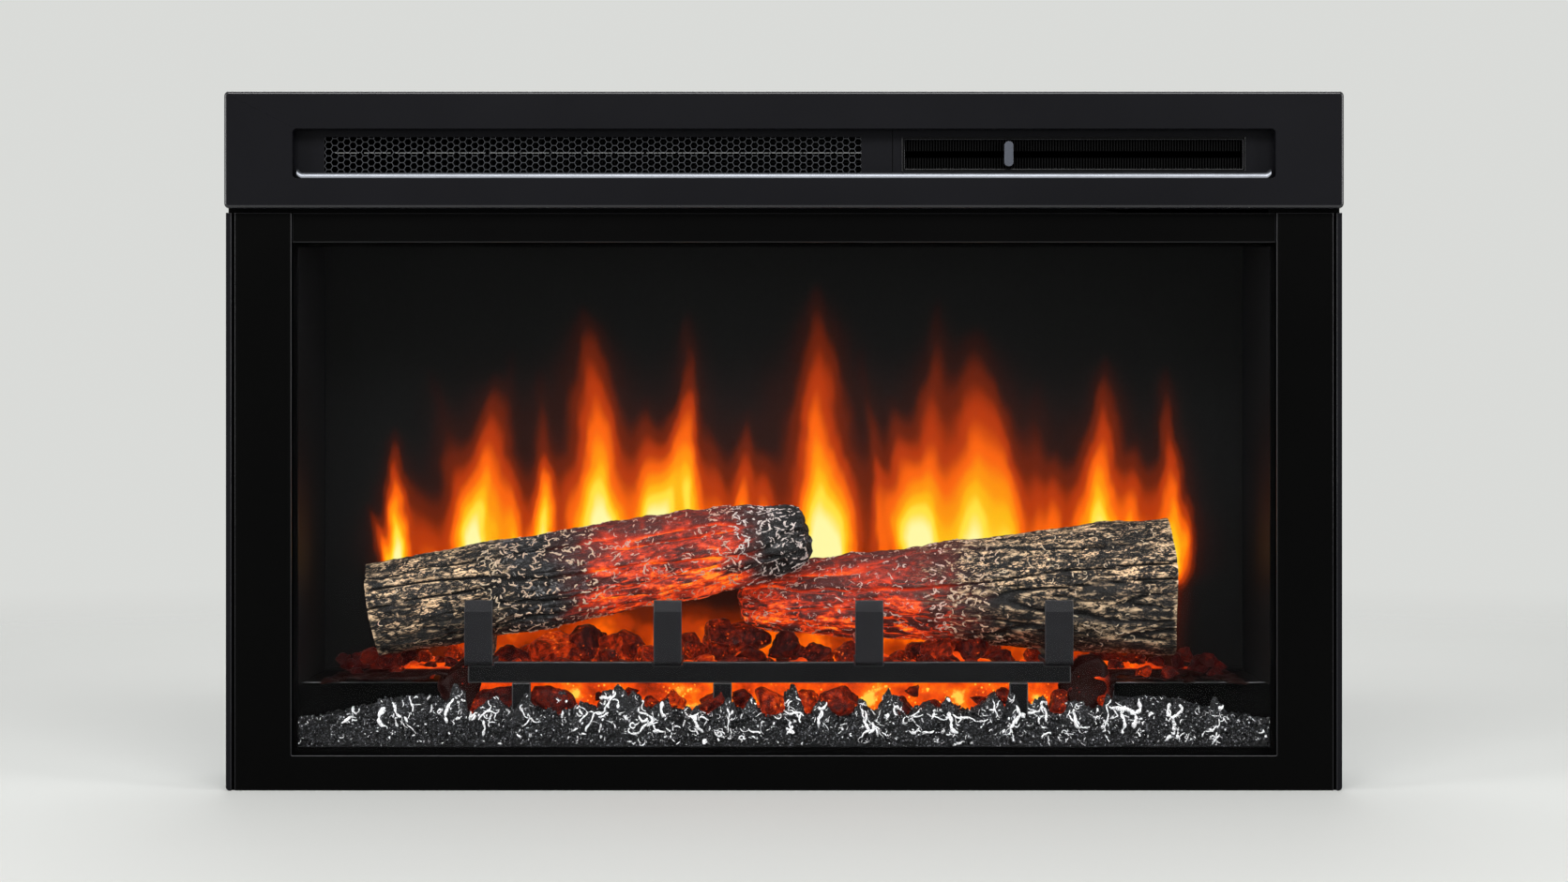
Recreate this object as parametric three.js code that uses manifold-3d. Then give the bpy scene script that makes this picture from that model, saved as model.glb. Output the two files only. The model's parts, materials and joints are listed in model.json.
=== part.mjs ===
// Electric fireplace insert in millimetres: +Z is up, the front faces -Y, and the origin lies
// under the middle of the cabinet and the front together.

import * as THREE from "three";
import { mergeVertices } from "three/addons/utils/BufferGeometryUtils.js";
import Module from "manifold-3d";

const wasm = await Module();
wasm.setup();

// Whole insert
const overallWidth = 842;
const overallHeight = 527;
const overallDepth = 220;
const sheet = 1.5;
const seatGap = 0.3;
const cutOver = 2;

// Head panel with its long slot
const headHeight = 88;
const headDepth = 12;
const headRadius = 3.5;
const slotSideBorder = 51.5;
const slotHeight = 37.4;
const slotRise = 22.4;
const slotRadius = 3;
const slotLipWidth = 9;
const slotLipRise = 4.3;

// Panels behind the slot
const slotPanelSheet = 1.5;
const slotPanelMargin = 4;
const panelJointGap = 0.5;
const outletInset = 22.2;
const outletEndBorder = 23.6;
const outletHeight = 28.8;
const outletRise = 3.4;
const grilleThickness = 1.2;
const grilleBorder = 6;
const cellPitch = 11;
const cellStrand = 1.6;
const controlWindowInset = 23.3;
const controlWindowWidth = 255;
const controlWindowHeight = 22;
const controlWindowRise = 8.1;
const controlPanelLead = 9.2;

// Front frame, trims and glass header
const headReveal = 2.8;
const trimWidth = 4.2;
const trimDepth = 5;
const trimRadius = 3;
const trimReveal = 2.3;
const frameDepth = 4;
const stileWidth = 42.8;
const railHeight = 26.5;
const headerHeight = 22.2;
const headerDepth = 2;

// Cabinet behind the front
const carrierInset = 1;
const hemClearance = 2;
const edgeRebate = 0.4;
const windowMargin = 0.6;
const cabinetMargin = 29;
const cabinetTopDrop = 22;
const rearProud = 8;
const panLipHeight = 15;
const ventSlotLength = 40;
const ventSlotHeight = 5;
const ventSlotPitch = 62;
const ventSlotCount = 8;
const ventSlotDrop = 30;

// Glass
const glassThickness = 4;
const glassLap = 8;
const gasketThickness = 1.2;
const glassSupportWidth = 40;
const glassSupportInset = 70;

// Firebox
const fireboxInset = 3.2;
const fireboxBottom = 31.5;
const ceilingRise = 17.2;
const linerJogDepth = 54.5;
const linerJog = 1.8;
const troughDepth = 26;
const troughLap = 7.5;
const ledgeHeight = 78.6;
const ledgeBack = 8;
const rearChamberDepth = 60.5;
const screenThickness = 3;
const screenClearance = 0.4;
const retainerHeight = 3;
const retainerDepth = 4;

// Fuel bed
const bedWall = 3;
const bedBackInset = 8;
const bedSideRoom = 12.5;
const bedApronLeft = 259;
const bedApronRight = 252;
const bedApronDepth = 12;
const bedFit = 1;
const bedCrest = 24.2;
const bedFadeShares = { side: 0.2, front: 0.2, back: 0.25 };
const bedFrontShare = 0.35;
const bedEndShare = 0.35;
const bedWaveShares = { along: 0.6, back: 0.7 };
const apronWaveShares = { along: 0.8, up: 1.3 };
const cinderCrown = 18;
const cinderEdgeHeight = 21;
const cinderGrain = 4;
const cinderFrontGap = 0.6;
const cinderSideShare = 0.25;
const cinderWaveShares = { along: 1.7, back: 1.9 };

// Grate
const grateSteel = 4;
const grateUprightWidth = 21.4;
const grateTop = 142.5;
const grateBevelHeight = 8.8;
const grateBevelDepth = 3;
const grateFrontSetback = 5;
const grateRunHeight = 97;
const grateRunLength = 78;
const grateBend = 3.9;
const grateBarHeight = 16.1;
const grateBarTop = 95.6;
const grateBarDepth = 5.7;
const grateBarLeft = 240.9;
const grateBarRight = 218.7;
const grateLegWidth = 14.3;
const uprightOuterLeft = 232.5;
const uprightInnerLeft = 88.6;
const uprightInnerRight = 64.9;
const uprightOuterRight = 209.4;
const legOuterLeft = 200.3;
const legMiddle = 46.9;
const legOuterRight = 178.9;

// Logs: the outer ends keep clear of the liners, the inner ends cross in the middle, and what lies
// from front to back follows the firebox's depth
const logLeftSideRoom = 51.5;
const logRightSideRoom = 65.9;
const logLeftInner = 18.9;
const logRightInner = 34.7;
const logLeftOuterHeight = 132.5;
const logLeftInnerHeight = 192;
const logRightInnerHeight = 139.8;
const logRightOuterHeight = 150;
const logLeftSetbackShares = { outer: 0.364, inner: 0.316 };
const logRightSetbackShares = { inner: 0.632, outer: 0.49 };
const logDepthRoom = 19.7;
const logLeftDepthShare = 0.682;
const logLeftRadius = 36.4;
const logRightRadius = 53.4;
const logLeftShares = [1, 1.01, 1, 0.98, 0.95, 0.88, 0.62];
const logLeftSides = 22;
const logRightShares = [0.42, 0.56, 0.64, 0.75, 0.86, 0.96, 1.01];
const logRightSides = 24;
const logRingsPerShare = 3;
const logFootWidth = 16;
const logFootLength = 26;
const logBarkRelief = 1.4;
const logBarkShares = { along: 0.7, around: 0.9 };

// Control slider
const knobWidth = 6.4;
const knobHeight = 18.6;
const knobDepth = 6;
const knobRadius = 2.9;
const knobGap = 0.5;
const stemWidth = 3;
const stemHeight = 3.6;
const stemClearance = 0.4;
const stemWayInset = 4.2;
const sliderPlace = 78.3;
const trackThickness = 3;
const trackBorder = 2.4;
const ribPitch = 7.5;
const ribDepth = 1;
const bezelWidth = 2.2;
const bezelDepth = 1;
const channelDepth = 11;
const channelHeight = 15;
const channelWall = 1.2;
const carriageWidth = 9;
const carriageDepth = 6;

// Control board
const boardWidth = 190;
const boardLength = 96;
const boardThickness = 1.6;
const boardStandoff = 6;
const standoffRadius = 3;
const boardSetback = 30;
const boardMotorRoom = 46.1;
const transformerSize = 34;
const transformerHeight = 27;
const relayWidth = 16;
const relayPitch = 22.4;
const relayHeight = 15;

// Fan heater
const ductSheet = 1;
const scrollRadius = 29;
const scrollCentreDepth = 66;
const scrollRise = 33;
const intakeWidth = 26;
const drumRadius = 25;
const drumRing = 1.5;
const drumEndGap = 7;
const bladeCount = 12;
const bladeThickness = 1;
const bladeWidth = 6;
const bladeSetDegrees = 36;
const shaftRadius = 3;
const shaftClearance = 0.3;
const bushFlangeRadius = 8;
const bushFlange = 2.5;
const bushWall = 2;
const motorSize = 42;
const motorLength = 30;
const motorCoreRadius = 13;
const elementDepth = 18;
const elementSetback = 5;
const elementBar = 3;
const elementFinPitch = 24;
const elementFin = 1;
const cutoutRadius = 7;
const cutoutHeight = 8;

// Flame effect behind the screen
const reflectorSetback = 12;
const reflectorHeight = 300;
const reflectorSheet = 1;
const reflectorSideRoom = 52.5;
const flameOpeningCount = 9;
const flameFootShare = 0.3;
const flameHeightShares = { least: 0.38, spread: 0.24 };
const flameWidthShare = 0.8;
// Each flame's outline runs from its foot to a leaning tip
const flameOutlineShares = [
  [-0.32, 0],
  [0.32, 0],
  [0.5, 0.22],
  [0.34, 0.48],
  [0.2, 0.72],
  [0.06, 1],
  [-0.06, 0.74],
  [-0.34, 0.52],
  [-0.48, 0.24],
];
const flickerSetback = 34;
const flickerHeight = 70;
const flickerSideRoom = 46.5;
const vaneRadius = 15;
const vaneWidth = 26;
const vaneThickness = 1;
const vanePitch = 38;
const vaneTurnDegrees = 51.4;
const vaneGap = 6;
const bracketWidth = 26;
const bracketTop = 12;
const bracketFoot = 14;
const flickerMotorRadius = 14;
const flickerMotorLength = 22;
const ledBoardDepth = 20;
const flameLedHeight = 18;
const emberLedHeight = 22;
const emberLedHalfWidth = 220;
const emberLedBackRoom = 36;
const ledSize = 5;
const ledPitch = 44;

// Mains inlet
const glandRadius = 8;
const glandHexRadius = 11;
const glandBore = 4;
const glandInside = 9;
const glandInset = 30;
const glandHeight = 46;
const terminalWidth = 40;
const terminalDepth = 22;
const terminalHeight = 18;
const terminalWall = 3;

// Places that follow from the sizes
const frontY = -overallDepth / 2;
const carrierFrontY = frontY + headDepth;
const carrierBackY = carrierFrontY + sheet;
const slotPanelFrontY = carrierFrontY - slotPanelSheet;
const rearPanelY = overallDepth / 2 - rearProud;
const rearInnerY = rearPanelY - sheet;
const halfWidth = overallWidth / 2;
const headBottom = overallHeight - headHeight;
const slotBottom = headBottom + slotRise;
const slotTop = slotBottom + slotHeight;
const slotHalf = halfWidth - slotSideBorder;
const frameTop = headBottom - headReveal;
const frameHalf = halfWidth - trimWidth - trimReveal;
const openingHalf = frameHalf - stileWidth;
const headerBottom = frameTop - headerHeight;
const windowRight = slotHalf - controlWindowInset;
const windowLeft = windowRight - controlWindowWidth;
const windowBottom = slotBottom + controlWindowRise;
const windowTop = windowBottom + controlWindowHeight;
const panelJoint = windowLeft - controlPanelLead;
const outletLeft = -slotHalf + outletInset;
const outletRight = panelJoint - outletEndBorder;
const outletBottom = slotBottom + outletRise;
const outletTop = outletBottom + outletHeight;
const cabinetHalf = halfWidth - cabinetMargin;
const cabinetInner = cabinetHalf - sheet;
const cabinetTop = overallHeight - cabinetTopDrop;
const panHalf = cabinetInner - seatGap;
const carrierWindowHalf = openingHalf + windowMargin;
const glassHalf = carrierWindowHalf + glassLap;
const glassBottom = railHeight - glassLap;
const glassTop = headerBottom + glassLap;
const glassFrontY = carrierBackY + seatGap;
const glassBackY = glassFrontY + glassThickness;
const ringFrontY = glassBackY + gasketThickness;
const ringBackY = ringFrontY + sheet;
const fireboxHalf = openingHalf - fireboxInset;
const fireboxTop = headerBottom - fireboxInset;
const ceilingZ = fireboxTop + ceilingRise;
const ledgeFrontY = ringBackY + troughDepth;
const screenBackY = rearInnerY - rearChamberDepth;
const screenY = screenBackY - screenThickness;
const fireboxDepth = screenY - ringBackY;
const ledgeBackY = screenBackY + ledgeBack;
const troughHalf = fireboxHalf + troughLap;
const grateFrontY = ringBackY + grateFrontSetback - 2 * cinderFrontGap;
const grateBackY = grateFrontY + grateSteel;
const grateBarFrontY = grateBackY + seatGap;
const apronFrontY = ledgeFrontY - bedApronDepth;
const windowMiddle = (windowBottom + windowTop) / 2;
const uprightPlaces = [-uprightOuterLeft, -uprightInnerLeft, uprightInnerRight, uprightOuterRight];
const legPlaces = [-legOuterLeft, -legMiddle, legOuterRight];
const logRightDepth = (fireboxDepth - logDepthRoom) / 2;
const logLeftDepth = logRightDepth * logLeftDepthShare;
const logLeftEnds = [
  new THREE.Vector3(
    -fireboxHalf + logLeftSideRoom,
    ringBackY + fireboxDepth * logLeftSetbackShares.outer,
    logLeftOuterHeight,
  ),
  new THREE.Vector3(
    logLeftInner,
    ringBackY + fireboxDepth * logLeftSetbackShares.inner,
    logLeftInnerHeight,
  ),
];
const logRightEnds = [
  new THREE.Vector3(
    -logRightInner,
    ringBackY + fireboxDepth * logRightSetbackShares.inner,
    logRightInnerHeight,
  ),
  new THREE.Vector3(
    fireboxHalf - logRightSideRoom,
    ringBackY + fireboxDepth * logRightSetbackShares.outer,
    logRightOuterHeight,
  ),
];
const reflectorHalf = fireboxHalf - reflectorSideRoom;
const flickerHalf = fireboxHalf - flickerSideRoom;

// Materials
const coat = (color, roughness, metalness) =>
  new THREE.MeshStandardMaterial({ color, roughness, metalness });
const powderCoat = coat(0x1e1e21, 0.55, 0.4);
const frameCoat = coat(0x101011, 0.6, 0.4);
const fireboxPaint = coat(0x141518, 0.7, 0.3);
const zincSteel = coat(0x9a9ea3, 0.45, 0.9);
const brightAluminium = coat(0xc3c8d2, 0.25, 1);
const grateBlack = coat(0x26282a, 0.6, 0.5);
const clearGlass = new THREE.MeshStandardMaterial({
  color: 0xdfe6e6,
  roughness: 0.05,
  metalness: 0,
  transparent: true,
  opacity: 0.2,
});
const screenPlastic = coat(0x2a1208, 0.5, 0);
const emberPlastic = coat(0xd9480f, 0.35, 0);
const cinderStone = coat(0x2b2c2f, 0.8, 0);
const logBark = coat(0x4a3a2e, 0.9, 0);
const blackPlastic = coat(0x17181a, 0.6, 0);
const knobPlastic = coat(0x85878c, 0.4, 0.1);
const gasketFibre = coat(0x0c0c0c, 0.95, 0);
const boardGreen = coat(0x1f5a36, 0.6, 0);
const motorSteel = coat(0x6d7074, 0.5, 0.8);
const brassBush = coat(0xb08d4a, 0.4, 0.9);

const insert = new THREE.Group();
insert.name = "electric_fireplace_insert";

// Solids and meshes
function solidOf(geometry) {
  const bare = geometry.index ? geometry.toNonIndexed() : geometry.clone();
  bare.deleteAttribute("normal");
  bare.deleteAttribute("uv");
  const merged = mergeVertices(bare, 1e-4);
  return new wasm.Manifold(
    new wasm.Mesh({
      numProp: 3,
      vertProperties: merged.attributes.position.array,
      triVerts: new Uint32Array(merged.index.array),
    }),
  );
}

function geometryOf(solid) {
  const mesh = solid.getMesh();
  const positions = new Float32Array(mesh.numVert * 3);
  for (let i = 0; i < mesh.numVert; i++)
    positions.set(mesh.vertProperties.subarray(i * mesh.numProp, i * mesh.numProp + 3), i * 3);
  const indexed = new THREE.BufferGeometry();
  indexed.setAttribute("position", new THREE.BufferAttribute(positions, 3));
  indexed.setIndex(new THREE.BufferAttribute(mesh.triVerts, 1));
  const geometry = indexed.toNonIndexed();
  geometry.computeVertexNormals();
  return geometry;
}

function addPiece(name, solid, material) {
  const mesh = new THREE.Mesh(geometryOf(solid), material);
  mesh.name = name;
  insert.add(mesh);
}

const join = (solids) => solids.reduce((whole, solid) => whole.add(solid));
const cut = (solid, tools) => tools.reduce((left, tool) => left.subtract(tool), solid);

// The largest body of a solid, without the crumbs that a cut leaves
const largestBody = (solid) => solid.decompose().sort((a, b) => b.volume() - a.volume())[0];

function block(x0, x1, y0, y1, z0, z1) {
  const geometry = new THREE.BoxGeometry(x1 - x0, y1 - y0, z1 - z0);
  return solidOf(geometry.translate((x0 + x1) / 2, (y0 + y1) / 2, (z0 + z1) / 2));
}

const outline = (points) => new THREE.Shape(points.map(([u, v]) => new THREE.Vector2(u, v)));

// A rectangle with round corners
function roundedOutline(u0, u1, v0, v1, radius) {
  const shape = new THREE.Shape();
  shape.moveTo(u0 + radius, v0);
  shape.lineTo(u1 - radius, v0);
  shape.absarc(u1 - radius, v0 + radius, radius, -Math.PI / 2, 0);
  shape.lineTo(u1, v1 - radius);
  shape.absarc(u1 - radius, v1 - radius, radius, 0, Math.PI / 2);
  shape.lineTo(u0 + radius, v1);
  shape.absarc(u0 + radius, v1 - radius, radius, Math.PI / 2, Math.PI);
  shape.lineTo(u0, v0 + radius);
  shape.absarc(u0 + radius, v0 + radius, radius, Math.PI, 1.5 * Math.PI);
  return shape;
}

const extrude = (shape, depth) =>
  new THREE.ExtrudeGeometry(shape, { depth, bevelEnabled: false, curveSegments: 4 });

// An outline in Y and Z drawn out along X
function alongX(shape, x0, x1) {
  const turn = new THREE.Matrix4().set(0, 0, 1, x0, 1, 0, 0, 0, 0, 1, 0, 0, 0, 0, 0, 1);
  return solidOf(extrude(shape, x1 - x0).applyMatrix4(turn));
}

// An outline in X and Z drawn out along Y
const alongY = (shape, y0, y1) =>
  solidOf(extrude(shape, y1 - y0).rotateX(Math.PI / 2).translate(0, y1, 0));

// An outline in X and Y drawn out along Z
const alongZ = (shape, z0, z1) => solidOf(extrude(shape, z1 - z0).translate(0, 0, z0));

function roundAlongX(radius, x0, x1, y, z, sides) {
  const geometry = new THREE.CylinderGeometry(radius, radius, x1 - x0, sides).rotateZ(Math.PI / 2);
  return solidOf(geometry.translate((x0 + x1) / 2, y, z));
}

function roundAlongY(radius, y0, y1, x, z, sides) {
  return solidOf(new THREE.CylinderGeometry(radius, radius, y1 - y0, sides).translate(x, (y0 + y1) / 2, z));
}

function roundAlongZ(radius, z0, z1, x, y, sides) {
  const geometry = new THREE.CylinderGeometry(radius, radius, z1 - z0, sides).rotateX(Math.PI / 2);
  return solidOf(geometry.translate(x, y, (z0 + z1) / 2));
}

// A repeatable number from 0 to 1 for a pair of counts
function scatter(i, j) {
  const wave = Math.sin(i * 127.1 + j * 311.7) * 43758.5453;
  return wave - Math.floor(wave);
}

const smooth = (t) => t * t * (3 - 2 * t);

// Scattered numbers blended smoothly between whole counts
function swell(u, v) {
  const i = Math.floor(u);
  const j = Math.floor(v);
  const a = smooth(u - i);
  const b = smooth(v - j);
  const near = scatter(i, j) * (1 - a) + scatter(i + 1, j) * a;
  const far = scatter(i, j + 1) * (1 - a) + scatter(i + 1, j + 1) * a;
  return near * (1 - b) + far * b;
}

// A closed solid between two grids of points with the same edges: upper(i, j) and lower(i, j)
function gridSolid(columns, rows, upper, lower) {
  const positions = [];
  const quad = (a, b, c, d) => positions.push(...a, ...b, ...c, ...a, ...c, ...d);
  for (let i = 0; i < columns; i++)
    for (let j = 0; j < rows; j++) {
      quad(upper(i, j), upper(i + 1, j), upper(i + 1, j + 1), upper(i, j + 1));
      quad(lower(i, j), lower(i, j + 1), lower(i + 1, j + 1), lower(i + 1, j));
    }
  for (let i = 0; i < columns; i++) {
    quad(lower(i, 0), lower(i + 1, 0), upper(i + 1, 0), upper(i, 0));
    quad(upper(i, rows), upper(i + 1, rows), lower(i + 1, rows), lower(i, rows));
  }
  for (let j = 0; j < rows; j++) {
    quad(upper(0, j), upper(0, j + 1), lower(0, j + 1), lower(0, j));
    quad(lower(columns, j), lower(columns, j + 1), upper(columns, j + 1), upper(columns, j));
  }
  const geometry = new THREE.BufferGeometry();
  geometry.setAttribute("position", new THREE.Float32BufferAttribute(positions, 3));
  return solidOf(geometry);
}

// A flat frame from an outer to an inner rectangle, each [x0, x1, z0, z1]
function flatFrame(outer, inner, y0, y1) {
  const body = block(outer[0], outer[1], y0, y1, outer[2], outer[3]);
  return cut(body, [block(inner[0], inner[1], y0 - cutOver, y1 + cutOver, inner[2], inner[3])]);
}

// Front carrier: the flat plate that everything on the front is fixed to. Its border beside and over the
// cabinet is hemmed backwards and laps the edge of the opening.
function frontCarrier() {
  const half = halfWidth - carrierInset;
  const high = overallHeight - carrierInset;
  const hemHalf = cabinetHalf + hemClearance;
  const hem = cut(block(-half, half, carrierBackY - sheet / 2, carrierBackY + sheet, 0, high), [
    block(-hemHalf, hemHalf, carrierFrontY, carrierBackY + cutOver, -cutOver, cabinetTop + hemClearance),
  ]);
  const plate = join([block(-half, half, carrierFrontY, carrierBackY, 0, high), hem]);
  const reach = [carrierFrontY - cutOver, carrierBackY + cutOver];
  const grilleRoom = grilleBorder + 2 * seatGap;
  const trackRoom = trackBorder + 2 * seatGap;
  const glassWindow = block(
    -carrierWindowHalf, carrierWindowHalf, ...reach, railHeight - windowMargin, headerBottom + windowMargin,
  );
  const outlet = block(
    outletLeft - grilleRoom, outletRight + grilleRoom, ...reach,
    outletBottom - grilleRoom, outletTop + grilleRoom,
  );
  const control = block(
    windowLeft - trackRoom, windowRight + trackRoom, ...reach,
    windowBottom - trackRoom, windowTop + trackRoom,
  );
  addPiece("front_carrier", cut(plate, [glassWindow, outlet, control]), frameCoat);
}

// Cabinet: three folded sheets in one wrap, whose front edge is set in past the carrier's hem, a shallow pan
// under it and a vented rear panel
function cabinet() {
  const edgeHalf = cabinetHalf - edgeRebate;
  const edgeBackY = carrierBackY + sheet + hemClearance;
  const shell = join([
    block(-cabinetHalf, cabinetHalf, edgeBackY, rearPanelY, 0, cabinetTop),
    block(-edgeHalf, edgeHalf, carrierBackY, edgeBackY + cutOver, 0, cabinetTop - edgeRebate),
  ]);
  const wrap = cut(shell, [
    block(-cabinetInner, cabinetInner, carrierBackY - cutOver, rearPanelY + cutOver, -cutOver,
      cabinetTop - sheet),
  ]);
  addPiece("cabinet_wrap", wrap, zincSteel);

  const pan = cut(block(-panHalf, panHalf, carrierBackY, rearInnerY, 0, panLipHeight), [
    block(-panHalf + sheet, panHalf - sheet, carrierBackY + sheet, rearInnerY - sheet, sheet,
      panLipHeight + cutOver),
  ]);
  addPiece("base_pan", pan, zincSteel);

  const slots = [];
  for (let k = 0; k < ventSlotCount; k++) {
    const x = (k - (ventSlotCount - 1) / 2) * ventSlotPitch;
    for (const z of [cabinetTop - ventSlotDrop, cabinetTop - ventSlotDrop - 2 * ventSlotHeight])
      slots.push(
        block(x - ventSlotLength / 2, x + ventSlotLength / 2, rearInnerY - cutOver, rearPanelY + cutOver,
          z - ventSlotHeight / 2, z + ventSlotHeight / 2),
      );
  }
  const glandHole = roundAlongY(
    glandRadius + seatGap, rearInnerY - cutOver, rearPanelY + cutOver, -panHalf + glandInset, glandHeight, 16,
  );
  const rear = block(-panHalf, panHalf, rearInnerY, rearPanelY, seatGap, cabinetTop - sheet - seatGap);
  addPiece("rear_panel", cut(rear, [...slots, glandHole]), zincSteel);
}

// Head panel: a shallow pan, open behind, with returns round its edge and round the slot
function headPanel() {
  const outer = roundedOutline(-halfWidth, halfWidth, headBottom, overallHeight, headRadius);
  const hollow = roundedOutline(
    -halfWidth + sheet, halfWidth - sheet, headBottom + sheet, overallHeight - sheet, headRadius - sheet,
  );
  const collar = roundedOutline(
    -slotHalf - sheet, slotHalf + sheet, slotBottom - sheet, slotTop + sheet, slotRadius + sheet,
  );
  const slot = roundedOutline(-slotHalf, slotHalf, slotBottom, slotTop, slotRadius);
  const pocket = cut(alongY(hollow, frontY + sheet, carrierFrontY + cutOver), [
    alongY(collar, frontY, slotPanelFrontY),
  ]);
  const slotCut = alongY(slot, frontY - cutOver, carrierFrontY + cutOver);
  addPiece("head_panel", cut(alongY(outer, frontY, carrierFrontY), [pocket, slotCut]), powderCoat);

  const lipBack = frontY + seatGap + slotLipWidth;
  const lip = outline([
    [frontY + seatGap, slotBottom + seatGap],
    [lipBack, slotBottom + seatGap],
    [lipBack, slotBottom + seatGap + slotLipRise],
  ]);
  const lipHalf = slotHalf - slotRadius - seatGap;
  addPiece("slot_lip", alongX(lip, -lipHalf, lipHalf), brightAluminium);
}

// The vent and control panels that close the slot, one each side of a joint
function slotPanels() {
  const low = slotBottom - slotPanelMargin;
  const high = slotTop + slotPanelMargin;
  const left = -slotHalf - slotPanelMargin;
  const right = slotHalf + slotPanelMargin;
  const vent = flatFrame(
    [left, panelJoint - panelJointGap / 2, low, high],
    [outletLeft, outletRight, outletBottom, outletTop],
    slotPanelFrontY,
    carrierFrontY,
  );
  addPiece("vent_panel", vent, powderCoat);
  const control = flatFrame(
    [panelJoint + panelJointGap / 2, right, low, high],
    [windowLeft, windowRight, windowBottom, windowTop],
    slotPanelFrontY,
    carrierFrontY,
  );
  addPiece("control_panel", control, powderCoat);
  const bezel = flatFrame(
    [windowLeft - bezelWidth, windowRight + bezelWidth, windowBottom - bezelWidth, windowTop + bezelWidth],
    [windowLeft, windowRight, windowBottom, windowTop],
    slotPanelFrontY - bezelDepth,
    slotPanelFrontY,
  );
  addPiece("control_bezel", bezel, blackPlastic);
}

// Outlet grille: a plate of hexagon cells, flat sides up, in columns set half a cell apart
function outletGrille() {
  const plate = block(
    outletLeft - grilleBorder, outletRight + grilleBorder, carrierFrontY, carrierFrontY + grilleThickness,
    outletBottom - grilleBorder, outletTop + grilleBorder,
  );
  const cellRadius = (cellPitch - cellStrand) / Math.sqrt(3);
  const columnPitch = (cellPitch * Math.sqrt(3)) / 2;
  const columns = Math.floor((outletRight - outletLeft - 2 * cellRadius) / columnPitch) + 1;
  const firstX = (outletLeft + outletRight - (columns - 1) * columnPitch) / 2;
  const cellFront = carrierFrontY - cutOver;
  const cellBack = carrierFrontY + grilleThickness + cutOver;
  const cells = [];
  for (let i = 0; i < columns; i++) {
    const rows = Math.floor(outletHeight / cellPitch - (i % 2) / 2);
    for (let j = 0; j < rows; j++) {
      const x = firstX + i * columnPitch;
      const z = outletBottom + (j + 0.5 + (i % 2) / 2) * cellPitch;
      const corners = [];
      for (let k = 0; k < 6; k++) {
        const angle = (k * Math.PI) / 3;
        corners.push([x + cellRadius * Math.cos(angle), z + cellRadius * Math.sin(angle)]);
      }
      cells.push(alongY(outline(corners), cellFront, cellBack));
    }
  }
  addPiece("outlet_grille", cut(plate, [join(cells)]), powderCoat);
}

// Control slider: a ribbed track behind the window, and a knob whose stem ends in a carriage in a channel
function controlSlider() {
  const trackBack = carrierFrontY + trackThickness;
  const combLeft = windowLeft + ribPitch / 2;
  const ribs = Math.floor((controlWindowWidth - ribPitch) / ribPitch);
  const grooves = [];
  for (let k = 0; k < ribs; k++) {
    const x = combLeft + k * ribPitch;
    grooves.push(
      block(x, x + ribPitch / 2, carrierFrontY - cutOver, carrierFrontY + ribDepth, windowBottom, windowTop),
    );
  }
  const stemWayHalf = stemHeight / 2 + stemClearance;
  const stemWay = (y0, y1) =>
    block(windowLeft + stemWayInset, windowRight - stemWayInset, y0, y1, windowMiddle - stemWayHalf,
      windowMiddle + stemWayHalf);
  const track = block(
    windowLeft - trackBorder, windowRight + trackBorder, carrierFrontY, trackBack,
    windowBottom - trackBorder, windowTop + trackBorder,
  );
  const trackWay = stemWay(carrierFrontY - cutOver, trackBack + cutOver);
  addPiece("ribbed_track", cut(track, [...grooves, trackWay]), blackPlastic);

  const channelBack = trackBack + channelDepth;
  const channelLow = windowMiddle - channelHeight / 2;
  const channelHigh = windowMiddle + channelHeight / 2;
  const channel = cut(block(windowLeft, windowRight, trackBack, channelBack, channelLow, channelHigh), [
    block(windowLeft + channelWall, windowRight - channelWall, trackBack + channelWall,
      channelBack - channelWall, channelLow + channelWall, channelHigh - channelWall),
    stemWay(trackBack - cutOver, trackBack + 2 * channelWall),
  ]);
  addPiece("slide_control_body", channel, blackPlastic);

  const x = windowLeft + sliderPlace;
  const knobBack = carrierFrontY - knobGap;
  const pill = roundedOutline(
    x - knobWidth / 2, x + knobWidth / 2, windowMiddle - knobHeight / 2, windowMiddle + knobHeight / 2,
    knobRadius,
  );
  const carriageHalf = channelHeight / 2 - channelWall - stemClearance;
  const carriageFront = trackBack + channelWall + stemClearance;
  const slider = join([
    alongY(pill, knobBack - knobDepth, knobBack),
    block(x - stemWidth / 2, x + stemWidth / 2, knobBack - knobDepth / 2, carriageFront + carriageDepth / 2,
      windowMiddle - stemHeight / 2, windowMiddle + stemHeight / 2),
    block(x - carriageWidth / 2, x + carriageWidth / 2, carriageFront, carriageFront + carriageDepth,
      windowMiddle - carriageHalf, windowMiddle + carriageHalf),
  ]);
  addPiece("control_slider", slider, knobPlastic);
}

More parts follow.
